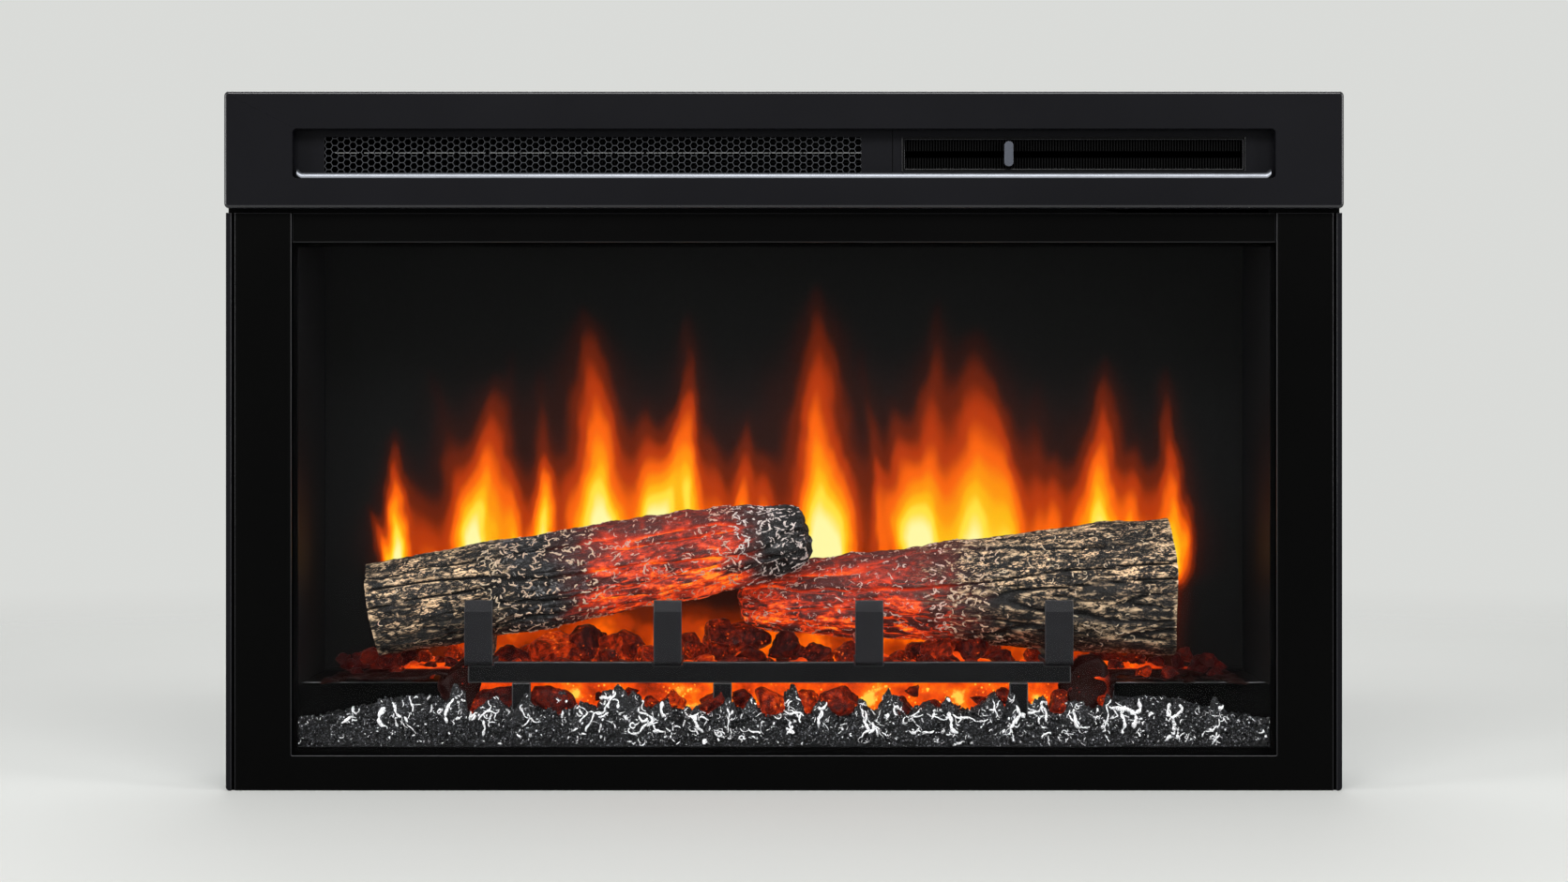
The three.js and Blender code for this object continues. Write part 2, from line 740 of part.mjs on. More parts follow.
// Front frame: two stiles and a rail folded from one sheet, open behind, with a trim strip each side of it
function frontFrame() {
  const frameY = carrierFrontY - frameDepth;
  const frameOutline = (inset) =>
    outline([
      [-frameHalf + inset, inset],
      [frameHalf - inset, inset],
      [frameHalf - inset, frameTop - inset],
      [openingHalf + inset, frameTop - inset],
      [openingHalf + inset, railHeight - inset],
      [-openingHalf - inset, railHeight - inset],
      [-openingHalf - inset, frameTop - inset],
      [-frameHalf + inset, frameTop - inset],
    ]);
  const frame = cut(alongY(frameOutline(0), frameY, carrierFrontY), [
    alongY(frameOutline(sheet), frameY + sheet, carrierFrontY + cutOver),
  ]);
  addPiece("front_frame", frame, frameCoat);

  for (const [name, side] of [["side_trim_left", -1], ["side_trim_right", 1]]) {
    const outer = side * halfWidth;
    const inner = side * (halfWidth - trimWidth);
    const strip = new THREE.Shape();
    strip.moveTo(inner, 0);
    strip.lineTo(outer - side * trimRadius, 0);
    const arcEnd = side > 0 ? 0 : -Math.PI;
    strip.absarc(outer - side * trimRadius, trimRadius, trimRadius, -Math.PI / 2, arcEnd, side < 0);
    strip.lineTo(outer, frameTop);
    strip.lineTo(inner, frameTop);
    addPiece(name, alongY(strip, carrierFrontY - trimDepth, carrierFrontY), powderCoat);
  }

  const headerHalf = openingHalf - seatGap;
  const headerFrontY = carrierFrontY - headerDepth;
  const header = cut(block(-headerHalf, headerHalf, headerFrontY, carrierFrontY, headerBottom, frameTop), [
    block(-headerHalf - cutOver, headerHalf + cutOver, headerFrontY + headerDepth / 2,
      carrierFrontY + cutOver, headerBottom + sheet, frameTop - sheet),
  ]);
  addPiece("glass_header", header, frameCoat);
}

// Front glass on two supports, with a fibre gasket between it and the firebox
function frontGlass() {
  addPiece(
    "front_glass",
    block(-glassHalf, glassHalf, glassFrontY, glassBackY, glassBottom, glassTop),
    clearGlass,
  );
  const gasketHalf = glassHalf - windowMargin;
  const gasket = flatFrame(
    [-gasketHalf, gasketHalf, glassBottom + windowMargin, glassTop - windowMargin],
    [-fireboxHalf, fireboxHalf, fireboxBottom, fireboxTop],
    glassBackY,
    ringFrontY,
  );
  addPiece("glass_gasket", gasket, gasketFibre);
  for (const [name, side] of [["glass_support_left", -1], ["glass_support_right", 1]]) {
    const middle = side * (glassHalf - glassSupportInset);
    const support = block(
      middle - glassSupportWidth / 2, middle + glassSupportWidth / 2,
      carrierBackY + sheet + seatGap, ringFrontY - seatGap, sheet, glassBottom,
    );
    addPiece(name, support, gasketFibre);
  }
}

// Firebox: front ring, side liners, ceiling, ledge and cinder tray
function firebox() {
  const ringHalf = panHalf - sheet - seatGap;
  const ring = flatFrame(
    [-ringHalf, ringHalf, sheet, ceilingZ],
    [-fireboxHalf, fireboxHalf, fireboxBottom, fireboxTop],
    ringFrontY,
    ringBackY,
  );
  addPiece("firebox_ring", ring, fireboxPaint);
  addPiece(
    "firebox_ceiling",
    block(-panHalf, panHalf, ringFrontY, rearInnerY, ceilingZ, ceilingZ + sheet),
    fireboxPaint,
  );

  const jogY = ringBackY + linerJogDepth;
  const linerEnd = ledgeBackY - sheet;
  for (const [name, side] of [["firebox_side_left", -1], ["firebox_side_right", 1]]) {
    const points = [
      [fireboxHalf, ringBackY],
      [fireboxHalf + sheet, ringBackY],
      [fireboxHalf + sheet, jogY - sheet],
      [fireboxHalf + sheet + linerJog, jogY - sheet],
      [fireboxHalf + sheet + linerJog, linerEnd],
      [fireboxHalf + linerJog, linerEnd],
      [fireboxHalf + linerJog, jogY],
      [fireboxHalf, jogY],
    ].map(([x, y]) => [side * x, y]);
    addPiece(name, alongZ(outline(points), ledgeHeight, ceilingZ), fireboxPaint);
  }

  // The tray stands on the pan and holds the ledge's front fold
  const trayBack = ledgeFrontY + 2 * sheet;
  const trayFloor = fireboxBottom - sheet;
  const tray = cut(
    block(-troughHalf - sheet, troughHalf + sheet, ringBackY, trayBack, sheet, ledgeHeight - sheet - seatGap),
    [
      block(-troughHalf, troughHalf, ringBackY - cutOver, trayBack + cutOver, fireboxBottom, ledgeHeight),
      block(-troughHalf, troughHalf, ringBackY - cutOver, trayBack + cutOver, -cutOver, trayFloor),
    ],
  );
  addPiece("cinder_tray", tray, fireboxPaint);

  const under = ledgeHeight - sheet;
  const ledgeHalf = troughHalf - seatGap;
  const ledge = join([
    block(-troughHalf - sheet, troughHalf + sheet, ledgeFrontY, ledgeBackY, under, ledgeHeight),
    block(-ledgeHalf, ledgeHalf, ledgeFrontY, ledgeFrontY + sheet, fireboxBottom, ledgeHeight),
    block(-ledgeHalf, ledgeHalf, ledgeBackY - sheet, ledgeBackY, sheet, ledgeHeight),
  ]);
  const glowWindow = block(
    -bedApronLeft - bedFit, bedApronRight + bedFit, ledgeFrontY - cutOver, screenY - 2 * bedBackInset,
    fireboxBottom + panLipHeight / 2, ledgeHeight + cutOver,
  );
  addPiece("ledge_panel", cut(ledge, [glowWindow]), fireboxPaint);
}

// Log: rings round an axis between two ends, each with its own share of the two radii and a rough bark
// outline. The radii are [from front to back, up].
function logSolid([start, stop], [depth, radius], radiusShares, growth, sides, seed) {
  const axis = stop.clone().sub(start);
  const length = axis.length();
  axis.normalize();
  const across = new THREE.Vector3(0, 1, 0).addScaledVector(axis, -axis.y).normalize();
  const downward = across.clone().cross(axis).normalize();
  const stations = logRingsPerShare * (radiusShares.length - 1);
  const ringPoint = (station, side) => {
    const along = station / stations;
    const place = along * (radiusShares.length - 1);
    const low = Math.min(Math.floor(place), radiusShares.length - 2);
    const share = radiusShares[low] + (radiusShares[low + 1] - radiusShares[low]) * (place - low);
    const angle = ((side % sides) * 2 * Math.PI) / sides;
    const lump = swell(station * logBarkShares.along + seed, (side % sides) * logBarkShares.around);
    const bark = (2 * lump - 1) * logBarkRelief + growth;
    const overrun = station === 0 ? -growth : station === stations ? growth : 0;
    return start
      .clone()
      .addScaledVector(axis, along * length + overrun)
      .addScaledVector(across, (depth * share + bark) * Math.cos(angle))
      .addScaledVector(downward, (radius * share + bark) * Math.sin(angle))
      .toArray();
  };
  const positions = [];
  const put = (...points) => points.forEach((point) => positions.push(...point));
  for (let s = 0; s < stations; s++)
    for (let k = 0; k < sides; k++) {
      put(ringPoint(s, k), ringPoint(s + 1, k), ringPoint(s + 1, k + 1));
      put(ringPoint(s, k), ringPoint(s + 1, k + 1), ringPoint(s, k + 1));
    }
  const startCentre = start.clone().addScaledVector(axis, -growth).toArray();
  const stopCentre = stop.clone().addScaledVector(axis, growth).toArray();
  for (let k = 0; k < sides; k++) {
    put(startCentre, ringPoint(0, k), ringPoint(0, k + 1));
    put(stopCentre, ringPoint(stations, k + 1), ringPoint(stations, k));
  }
  const geometry = new THREE.BufferGeometry();
  geometry.setAttribute("position", new THREE.Float32BufferAttribute(positions, 3));
  return solidOf(geometry);
}

const logLeftSolid = (growth) =>
  logSolid(logLeftEnds, [logLeftDepth, logLeftRadius], logLeftShares, growth, logLeftSides, 3);
const logRightSolid = (growth) =>
  logSolid(logRightEnds, [logRightDepth, logRightRadius], logRightShares, growth, logRightSides, 11);

// A log's foot stands on a bar of the grate, behind its upright
function logFoot(x, [start, stop], grow) {
  const middle = start.clone().lerp(stop, (x - start.x) / (stop.x - start.x));
  const halfX = logFootWidth / 2 + grow;
  const halfY = logFootLength / 2 + grow;
  return block(x - halfX, x + halfX, middle.y - halfY, middle.y + halfY, grateRunHeight - grow, middle.z);
}

const logLeftFeet = (grow) => [logFoot(-uprightOuterLeft, logLeftEnds, grow)];
const logRightFeet = (grow) =>
  [uprightInnerRight, uprightOuterRight].map((x) => logFoot(x, logRightEnds, grow));

function logs() {
  const left = cut(logLeftSolid(0), [logRightSolid(seatGap)]);
  addPiece("log_left", join([left, ...logLeftFeet(0)]), logBark);
  addPiece("log_right", join([logRightSolid(0), ...logRightFeet(0)]), logBark);
}

// Grate: a notched bar on three legs, and four bent bars that run back over it and stand up in front of it
function gratePieceOutline(grow) {
  const runTop = grateRunHeight + grow;
  const runUnder = grateRunHeight - grateSteel - grow;
  const front = grateFrontY - grow;
  const back = grateBackY + grow;
  const shape = new THREE.Shape();
  shape.moveTo(grateFrontY + grateRunLength + grow, runUnder);
  shape.lineTo(grateFrontY + grateRunLength + grow, runTop);
  shape.lineTo(back, runTop);
  shape.lineTo(back, grateTop + grow);
  shape.lineTo(front + grateBevelDepth, grateTop + grow);
  shape.lineTo(front, grateTop - grateBevelHeight + grow);
  shape.lineTo(front, runUnder + grateBend);
  shape.absarc(front + grateBend, runUnder + grateBend, grateBend, Math.PI, 1.5 * Math.PI);
  return shape;
}

function grateUpright(x, grow) {
  const half = grateUprightWidth / 2 + grow;
  return alongX(gratePieceOutline(grow), x - half, x + half);
}

function grate() {
  const barBottom = grateBarTop - grateBarHeight;
  const barBackY = grateBarFrontY + grateBarDepth;
  const bar = block(-grateBarLeft, grateBarRight, grateBarFrontY, barBackY, barBottom, grateBarTop);
  addPiece("grate_bar", cut(bar, uprightPlaces.map((x) => grateUpright(x, seatGap))), grateBlack);
  uprightPlaces.forEach((x, k) => addPiece(`grate_upright_${k + 1}`, grateUpright(x, 0), grateBlack));
  legPlaces.forEach((x, k) => addPiece(`grate_leg_${k + 1}`, grateLeg(x, 0), grateBlack));
}

function grateLeg(x, grow) {
  const half = grateLegWidth / 2 + grow;
  return block(
    x - half, x + half, grateBarFrontY - grow, grateBarFrontY + grateSteel + grow, fireboxBottom,
    grateBarTop - grateBarHeight,
  );
}

// Fuel bed: a lumpy moulded shell on the ledge with an apron down into the trough
function emberHeight(xShare, yShare) {
  const fade = Math.min(
    1,
    (1 - Math.abs(xShare)) / bedFadeShares.side,
    yShare / bedFadeShares.front + bedFrontShare,
    (1 - yShare) / bedFadeShares.back,
  );
  return bedCrest * fade * (1 - (1 - bedEndShare) * xShare * xShare);
}

function emberBed() {
  const columns = 48;
  const rows = 7;
  const backY = screenY - bedBackInset;
  const surface = (i, j) => {
    const xShare = (2 * i) / columns - 1;
    const yShare = j / rows;
    const lump = swell(i * bedWaveShares.along, j * bedWaveShares.back + 7);
    const z = ledgeHeight + bedWall + lump * emberHeight(xShare, yShare);
    return [xShare * (fireboxHalf - bedSideRoom), apronFrontY + (backY - apronFrontY) * yShare, z];
  };
  const bed = gridSolid(columns, rows, surface, (i, j) => {
    const [x, y, z] = surface(i, j);
    return [x, y, z - bedWall];
  });

  const apronColumns = 36;
  const apronRows = 4;
  const apronPlace = (i, j, y) => [
    -bedApronLeft + ((bedApronLeft + bedApronRight) * i) / apronColumns,
    y,
    fireboxBottom + seatGap + ((ledgeHeight + bedWall - fireboxBottom) * j) / apronRows,
  ];
  const apronFace = (i, j) => {
    const lump = swell(i * apronWaveShares.along + 5, j * apronWaveShares.up);
    return apronPlace(i, j, apronFrontY + lump * (bedApronDepth - 2 * bedWall));
  };
  const apronBack = (i, j) => apronPlace(i, j, ledgeFrontY - seatGap);
  const apron = gridSolid(apronColumns, apronRows, apronFace, apronBack);
  const clearances = [
    logLeftSolid(2 * seatGap),
    logRightSolid(2 * seatGap),
    ...logLeftFeet(seatGap),
    ...logRightFeet(seatGap),
    ...uprightPlaces.map((x) => grateUpright(x, 2 * seatGap)),
    ...legPlaces.map((x) => grateLeg(x, 2 * seatGap)),
    block(-grateBarLeft - seatGap, grateBarRight + seatGap, frontY,
      grateBarFrontY + grateBarDepth + 2 * seatGap, 0, overallHeight),
  ];
  addPiece("ember_bed", largestBody(cut(join([bed, apron]), clearances)), emberPlastic);
}

// Cinders: a rough heap along the trough, in front of the fuel bed, with room for the legs
function cinderBed() {
  const columns = 76;
  const rows = 4;
  const front = ringBackY + cinderFrontGap;
  const back = ledgeFrontY - seatGap;
  const half = troughHalf - seatGap;
  const surface = (i, j) => {
    const xShare = (2 * i) / columns - 1;
    const side = smooth(Math.min(1, (1 - Math.abs(xShare)) / cinderSideShare));
    const lump = swell(i * cinderWaveShares.along, j * cinderWaveShares.back);
    const slope = j / rows;
    const grain = (2 * lump - 1) * cinderGrain * (1 - slope / 2);
    const height = cinderEdgeHeight + side * cinderCrown * slope + grain;
    return [xShare * half, front + (back - front) * slope, fireboxBottom + height];
  };
  const heap = gridSolid(columns, rows, surface, (i, j) => {
    const [x, y] = surface(i, j);
    return [x, y, fireboxBottom];
  });
  const bedRoom = block(
    -bedApronLeft - 2 * seatGap, bedApronRight + 2 * seatGap, apronFrontY - seatGap, back + cutOver,
    0, overallHeight,
  );
  const legs = legPlaces.map((x) => grateLeg(x, seatGap));
  addPiece("cinder_bed", largestBody(cut(heap, [bedRoom, ...legs])), cinderStone);
}

// Flame screen on the ledge with a small retainer along its foot
function flameScreen() {
  const half = fireboxHalf + linerJog - screenClearance;
  addPiece(
    "flame_screen",
    block(-half, half, screenY, screenBackY, ledgeHeight, ceilingZ - seatGap),
    screenPlastic,
  );
  addPiece(
    "screen_retainer",
    block(-half, half, screenY - retainerDepth, screenY, ledgeHeight, ledgeHeight + retainerHeight),
    fireboxPaint,
  );
}

// Reflector sheet with flame-shaped openings
function flameReflector() {
  const y0 = screenBackY + reflectorSetback;
  const y1 = y0 + reflectorSheet;
  const pitch = (2 * reflectorHalf) / (flameOpeningCount + 1);
  const holes = [];
  for (let k = 0; k < flameOpeningCount; k++) {
    const middle = -reflectorHalf + pitch * (k + 1);
    const foot = reflectorHeight * flameFootShare;
    const tall = reflectorHeight * (flameHeightShares.least + flameHeightShares.spread * scatter(k, 5));
    const wide = pitch * flameWidthShare;
    const points = flameOutlineShares.map(([u, v]) => [middle + u * wide, foot + v * tall]);
    holes.push(alongY(outline(points), y0 - cutOver, y1 + cutOver));
  }
  const plate = block(-reflectorHalf, reflectorHalf, y0, y1, sheet, reflectorHeight);
  addPiece("flame_reflector", cut(plate, holes), brightAluminium);
}

// Flicker rod with turned vanes between two brackets, and its motor outside the right one
function flickerDrive() {
  const y = screenBackY + flickerSetback;
  const z = flickerHeight;
  const bore = shaftRadius + shaftClearance;
  const vanes = [];
  const count = Math.floor((2 * flickerHalf - 2 * vaneGap - vaneWidth) / vanePitch) + 1;
  for (let k = 0; k < count; k++) {
    const middle = (k - (count - 1) / 2) * vanePitch;
    const turn = THREE.MathUtils.degToRad(k * vaneTurnDegrees);
    const vane = new THREE.BoxGeometry(vaneWidth, 2 * vaneRadius, vaneThickness).rotateX(turn);
    vanes.push(solidOf(vane.translate(middle, y, z)));
  }
  const rodEnd = flickerHalf + sheet;
  const rod = roundAlongX(shaftRadius, -rodEnd - bushFlange, rodEnd + flickerMotorLength / 3, y, z, 12);
  addPiece("flicker_rod", join([rod, ...vanes]), brightAluminium);

  for (const [name, side] of [["flicker_bracket_left", -1], ["flicker_bracket_right", 1]]) {
    const inner = side * flickerHalf;
    const outer = side * (flickerHalf + sheet);
    const foot = side * (flickerHalf + bracketFoot);
    const low = Math.min(inner, outer);
    const front = y - bracketWidth / 2;
    const back = y + bracketWidth / 2;
    const plate = block(low, low + sheet, front, back, sheet, z + bracketTop);
    const flange = block(Math.min(inner, foot), Math.max(inner, foot), front, back, sheet, 2 * sheet);
    const hole = roundAlongX(bore, low - cutOver, low + sheet + cutOver, y, z, 12);
    addPiece(name, cut(join([plate, flange]), [hole]), zincSteel);
  }
  const motorStart = flickerHalf + sheet;
  const motor = cut(roundAlongX(flickerMotorRadius, motorStart, motorStart + flickerMotorLength, y, z, 20), [
    roundAlongX(bore, motorStart - cutOver, motorStart + flickerMotorLength / 2, y, z, 12),
  ]);
  addPiece("flicker_motor", motor, motorSteel);
}

// A strip of board on standoffs, with a row of light emitters on it
function ledBoard(name, halfLength, y0, y1, height) {
  const top = height + boardThickness;
  const pieces = [block(-halfLength, halfLength, y0, y1, height, top)];
  const middle = (y0 + y1) / 2;
  const emitters = Math.floor((2 * halfLength - ledPitch) / ledPitch) + 1;
  for (let k = 0; k < emitters; k++) {
    const x = (k - (emitters - 1) / 2) * ledPitch;
    pieces.push(
      block(x - ledSize / 2, x + ledSize / 2, middle - ledSize / 2, middle + ledSize / 2, height,
        top + ledSize / 3),
    );
  }
  for (const x of [-halfLength + ledPitch / 2, 0, halfLength - ledPitch / 2])
    pieces.push(roundAlongZ(standoffRadius, sheet, height + boardThickness / 2, x, middle, 8));
  addPiece(name, join(pieces), boardGreen);
}

function lightBoards() {
  const flickerY = screenBackY + flickerSetback;
  const flameFront = flickerY - ledBoardDepth / 2;
  const flameHalf = flickerHalf - vaneGap;
  ledBoard("flame_led_board", flameHalf, flameFront, flameFront + ledBoardDepth, flameLedHeight);
  const emberFront = ledgeFrontY + bracketFoot;
  const emberBack = ledgeBackY - sheet - emberLedBackRoom;
  ledBoard("ember_led_board", emberLedHalfWidth, emberFront, emberBack, emberLedHeight);
}

// Fan heater: a sheet duct with a scroll, a cross-flow drum, its bush and motor, a heating element
// and a thermal cut-out
function fanHeater() {
  const left = outletLeft - grilleBorder;
  const right = outletRight + grilleBorder;
  const y = carrierBackY + scrollCentreDepth;
  const z = ceilingZ + sheet + scrollRise;
  const bore = shaftRadius + shaftClearance;
  const ductTop = outletTop + grilleBorder;
  const ductBottom = outletBottom - grilleBorder;
  const scrollOuter = scrollRadius + ductSheet;
  const shell = join([
    block(left, right, carrierBackY, y, ductBottom, ductTop),
    roundAlongX(scrollOuter, left, right, y, z, 28),
  ]);
  const hollow = join([
    block(left + ductSheet, right - ductSheet, carrierBackY - cutOver, y, ductBottom + ductSheet,
      ductTop - ductSheet),
    roundAlongX(scrollRadius, left + ductSheet, right - ductSheet, y, z, 28),
    block(left + ductSheet, right - ductSheet, y, y + intakeWidth, z, ductTop + cutOver),
  ]);
  const shaftHoles = roundAlongX(bushFlangeRadius - bushWall, left - cutOver, right + cutOver, y, z, 16);
  addPiece("heater_housing", cut(shell, [hollow, shaftHoles]), zincSteel);

  const drumLeft = left + drumEndGap;
  const drumRight = right - drumEndGap;
  const blades = [];
  for (let k = 0; k < bladeCount; k++) {
    const blade = new THREE.BoxGeometry(drumRight - drumLeft, bladeWidth, bladeThickness)
      .rotateX(THREE.MathUtils.degToRad(bladeSetDegrees))
      .translate(0, drumRadius - bladeWidth / 2 - bladeThickness, 0)
      .rotateX((k * 2 * Math.PI) / bladeCount);
    blades.push(solidOf(blade.translate((drumLeft + drumRight) / 2, y, z)));
  }
  const drum = join([
    roundAlongX(drumRadius, drumLeft, drumLeft + drumRing, y, z, 24),
    roundAlongX(drumRadius, drumRight - drumRing, drumRight, y, z, 24),
    roundAlongX(shaftRadius, left - bushFlange, right + motorLength / 3, y, z, 12),
    ...blades,
  ]);
  addPiece("blower_drum", drum, blackPlastic);

  const bush = cut(
    join([
      roundAlongX(bushFlangeRadius, left - bushFlange, left, y, z, 16),
      roundAlongX(bushFlangeRadius - bushWall - seatGap, left - bushFlange, left + ductSheet, y, z, 16),
    ]),
    [roundAlongX(bore, left - bushFlange - cutOver, left + ductSheet + cutOver, y, z, 12)],
  );
  addPiece("blower_bush", bush, brassBush);

  const half = motorSize / 2;
  const motor = cut(
    join([
      block(right, right + motorLength / 2, y - half, y + half, z - half, z + half),
      roundAlongX(motorCoreRadius, right, right + motorLength, y, z, 20),
    ]),
    [roundAlongX(bore, right - cutOver, right + motorLength / 2, y, z, 12)],
  );
  addPiece("blower_motor", motor, motorSteel);

  const elementY = carrierBackY + elementSetback;
  const elementLeft = left + drumEndGap;
  const elementRight = right - drumEndGap;
  const elementLow = ductBottom + ductSheet;
  const elementHigh = ductTop - ductSheet - seatGap;
  const middle = (elementLow + elementHigh) / 2;
  const fins = [];
  for (let x = elementLeft; x < elementRight - elementFin; x += elementFinPitch)
    fins.push(block(x, x + elementFin, elementY, elementY + elementDepth, elementLow, elementHigh));
  const bars = [elementLow, middle - elementBar / 2, elementHigh - elementBar].map((low) =>
    block(elementLeft, elementRight, elementY, elementY + elementDepth, low, low + elementBar),
  );
  addPiece("heating_element", join([...bars, ...fins]), motorSteel);

  const cutoutX = (left + right) / 2;
  const cutoutY = elementY + elementDepth;
  const cutout = roundAlongZ(cutoutRadius, ductBottom - cutoutHeight, ductBottom, cutoutX, cutoutY, 16);
  addPiece("thermal_cutout", cutout, blackPlastic);
}

// Control board on standoffs over the ceiling, with a transformer and relays
function controlBoard() {
  const floor = ceilingZ + sheet;
  const low = floor + boardStandoff;
  const x0 = outletRight + grilleBorder + motorLength + boardMotorRoom;
  const x1 = x0 + boardWidth;
  const y0 = carrierBackY + boardSetback;
  const y1 = y0 + boardLength;
  const top = low + boardThickness;
  const reach = 2 * standoffRadius;
  const postTop = low + boardThickness / 2;
  const posts = [x0 + reach, x1 - reach].flatMap((x) =>
    [y0 + reach, y1 - reach].map((y) => roundAlongZ(standoffRadius, floor, postTop, x, y, 8)),
  );
  const relays = [0, 1, 2].map((k) => {
    const x = x0 + boardWidth / 2 + k * relayPitch;
    return block(x, x + relayWidth, y1 - reach - 2 * relayWidth, y1 - 2 * reach, low, top + relayHeight);
  });
  const transformer = block(
    x0 + 3 * reach, x0 + 3 * reach + transformerSize, y0 + 3 * reach, y0 + 3 * reach + transformerSize, low,
    top + transformerHeight,
  );
  const capacitor = roundAlongZ(
    relayWidth / 2, low, top + relayHeight, x1 - 3 * relayWidth, y0 + 2 * relayWidth, 16,
  );
  addPiece(
    "control_board",
    join([block(x0, x1, y0, y1, low, top), ...posts, ...relays, transformer, capacitor]),
    boardGreen,
  );
}

// Mains inlet: a gland through the rear panel and a terminal block on the pan beside it
function mainsInlet() {
  const x = -cabinetInner + seatGap + glandInset;
  const hexStart = rearPanelY;
  const hexEnd = overallDepth / 2;
  const gland = cut(
    join([
      roundAlongY(glandHexRadius, hexStart, hexEnd, x, glandHeight, 6),
      roundAlongY(glandRadius, rearInnerY - glandInside, hexStart + rearProud / 2, x, glandHeight, 16),
    ]),
    [roundAlongY(glandBore, rearInnerY - glandInside - cutOver, hexEnd + cutOver, x, glandHeight, 12)],
  );
  addPiece("cable_gland", gland, blackPlastic);

  const backY = rearInnerY - glandInside - glandInset / 2;
  const well = terminalWidth / 3;
  const wells = [0, 1, 2].map((k) => {
    const left = x - terminalWidth / 2 + k * well + terminalWall / 2;
    return block(left, left + well - terminalWall, backY - terminalDepth + terminalWall, backY - terminalWall,
      terminalHeight / 2, terminalHeight + sheet + cutOver);
  });
  const terminal = block(x - terminalWidth / 2, x + terminalWidth / 2, backY - terminalDepth, backY, sheet,
    sheet + terminalHeight);
  addPiece("terminal_block", cut(terminal, wells), blackPlastic);
}

frontCarrier();
cabinet();
headPanel();
slotPanels();
outletGrille();
controlSlider();
frontFrame();
frontGlass();
firebox();
grate();
logs();
emberBed();
cinderBed();
flameScreen();
flameReflector();
flickerDrive();
lightBoards();
fanHeater();
controlBoard();
mainsInlet();

export default insert;
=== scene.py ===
"""Electric fireplace insert: finishes, mesh grille, logs, embers, cinders, flames and studio."""

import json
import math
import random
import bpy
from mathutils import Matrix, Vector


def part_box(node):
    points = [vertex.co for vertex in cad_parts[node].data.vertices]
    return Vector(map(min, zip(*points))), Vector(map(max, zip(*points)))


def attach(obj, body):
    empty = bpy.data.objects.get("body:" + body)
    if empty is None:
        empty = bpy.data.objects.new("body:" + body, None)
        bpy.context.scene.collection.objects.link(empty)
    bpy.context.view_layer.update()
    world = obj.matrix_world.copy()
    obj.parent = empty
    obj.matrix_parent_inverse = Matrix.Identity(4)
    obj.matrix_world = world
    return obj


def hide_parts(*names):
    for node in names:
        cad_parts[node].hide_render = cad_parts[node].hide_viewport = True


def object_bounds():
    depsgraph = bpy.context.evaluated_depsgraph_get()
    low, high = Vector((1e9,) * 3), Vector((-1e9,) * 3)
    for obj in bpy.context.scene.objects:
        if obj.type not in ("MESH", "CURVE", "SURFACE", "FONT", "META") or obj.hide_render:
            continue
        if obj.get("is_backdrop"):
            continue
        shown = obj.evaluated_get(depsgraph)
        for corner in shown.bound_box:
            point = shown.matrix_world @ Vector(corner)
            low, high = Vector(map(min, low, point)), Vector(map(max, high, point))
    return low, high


bl_info = {
    "name": "Electric fireplace insert",
    "version": (1, 0, 0),
    "blender": (4, 5, 0),
    "location": "View3D > Sidebar > Fireplace",
    "description": "Dresses an electric fireplace insert: coats, outlet mesh, logs, embers and flames",
    "category": "Add Mesh",
}

import bpy
from bpy.props import FloatProperty, FloatVectorProperty, IntProperty, PointerProperty
from mathutils import Matrix, Vector, noise
from mathutils.bvhtree import BVHTree

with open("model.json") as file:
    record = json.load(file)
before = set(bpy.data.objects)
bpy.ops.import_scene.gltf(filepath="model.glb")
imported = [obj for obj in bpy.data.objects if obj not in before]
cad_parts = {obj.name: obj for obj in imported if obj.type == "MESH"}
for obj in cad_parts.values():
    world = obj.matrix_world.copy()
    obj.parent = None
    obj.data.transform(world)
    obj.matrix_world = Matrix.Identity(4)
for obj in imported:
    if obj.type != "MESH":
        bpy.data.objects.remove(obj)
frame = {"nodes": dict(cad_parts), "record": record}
cad_low, cad_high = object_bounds()

MM = 0.001
MERGE_DISTANCE = 0.00001
FRONT_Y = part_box("head_panel")[0].y

# The photograph's width, its middle and the insert's width in it, in pixels
PHOTO_WIDTH = 1672
PHOTO_CENTRE = (836, 470.5)
INSERT_WIDTH = 1195
PHOTO_SCALE = (cad_high.x - cad_low.x) / INSERT_WIDTH

# The camera: how far before the front and how high it stands in metres, and its sensor in millimetres
CAMERA_DISTANCE = 2.0
CAMERA_HEIGHT = 0.2639
SENSOR_WIDTH = 36


def photo_place(column, row, y):
    """Where a point of the photograph lies on the upright plane at that depth."""
    spread = PHOTO_SCALE * (1 + (y - FRONT_Y) / CAMERA_DISTANCE)
    across = (column - PHOTO_CENTRE[0]) * spread
    down = (row - PHOTO_CENTRE[1]) * spread
    return Vector((across, y, CAMERA_HEIGHT - down))


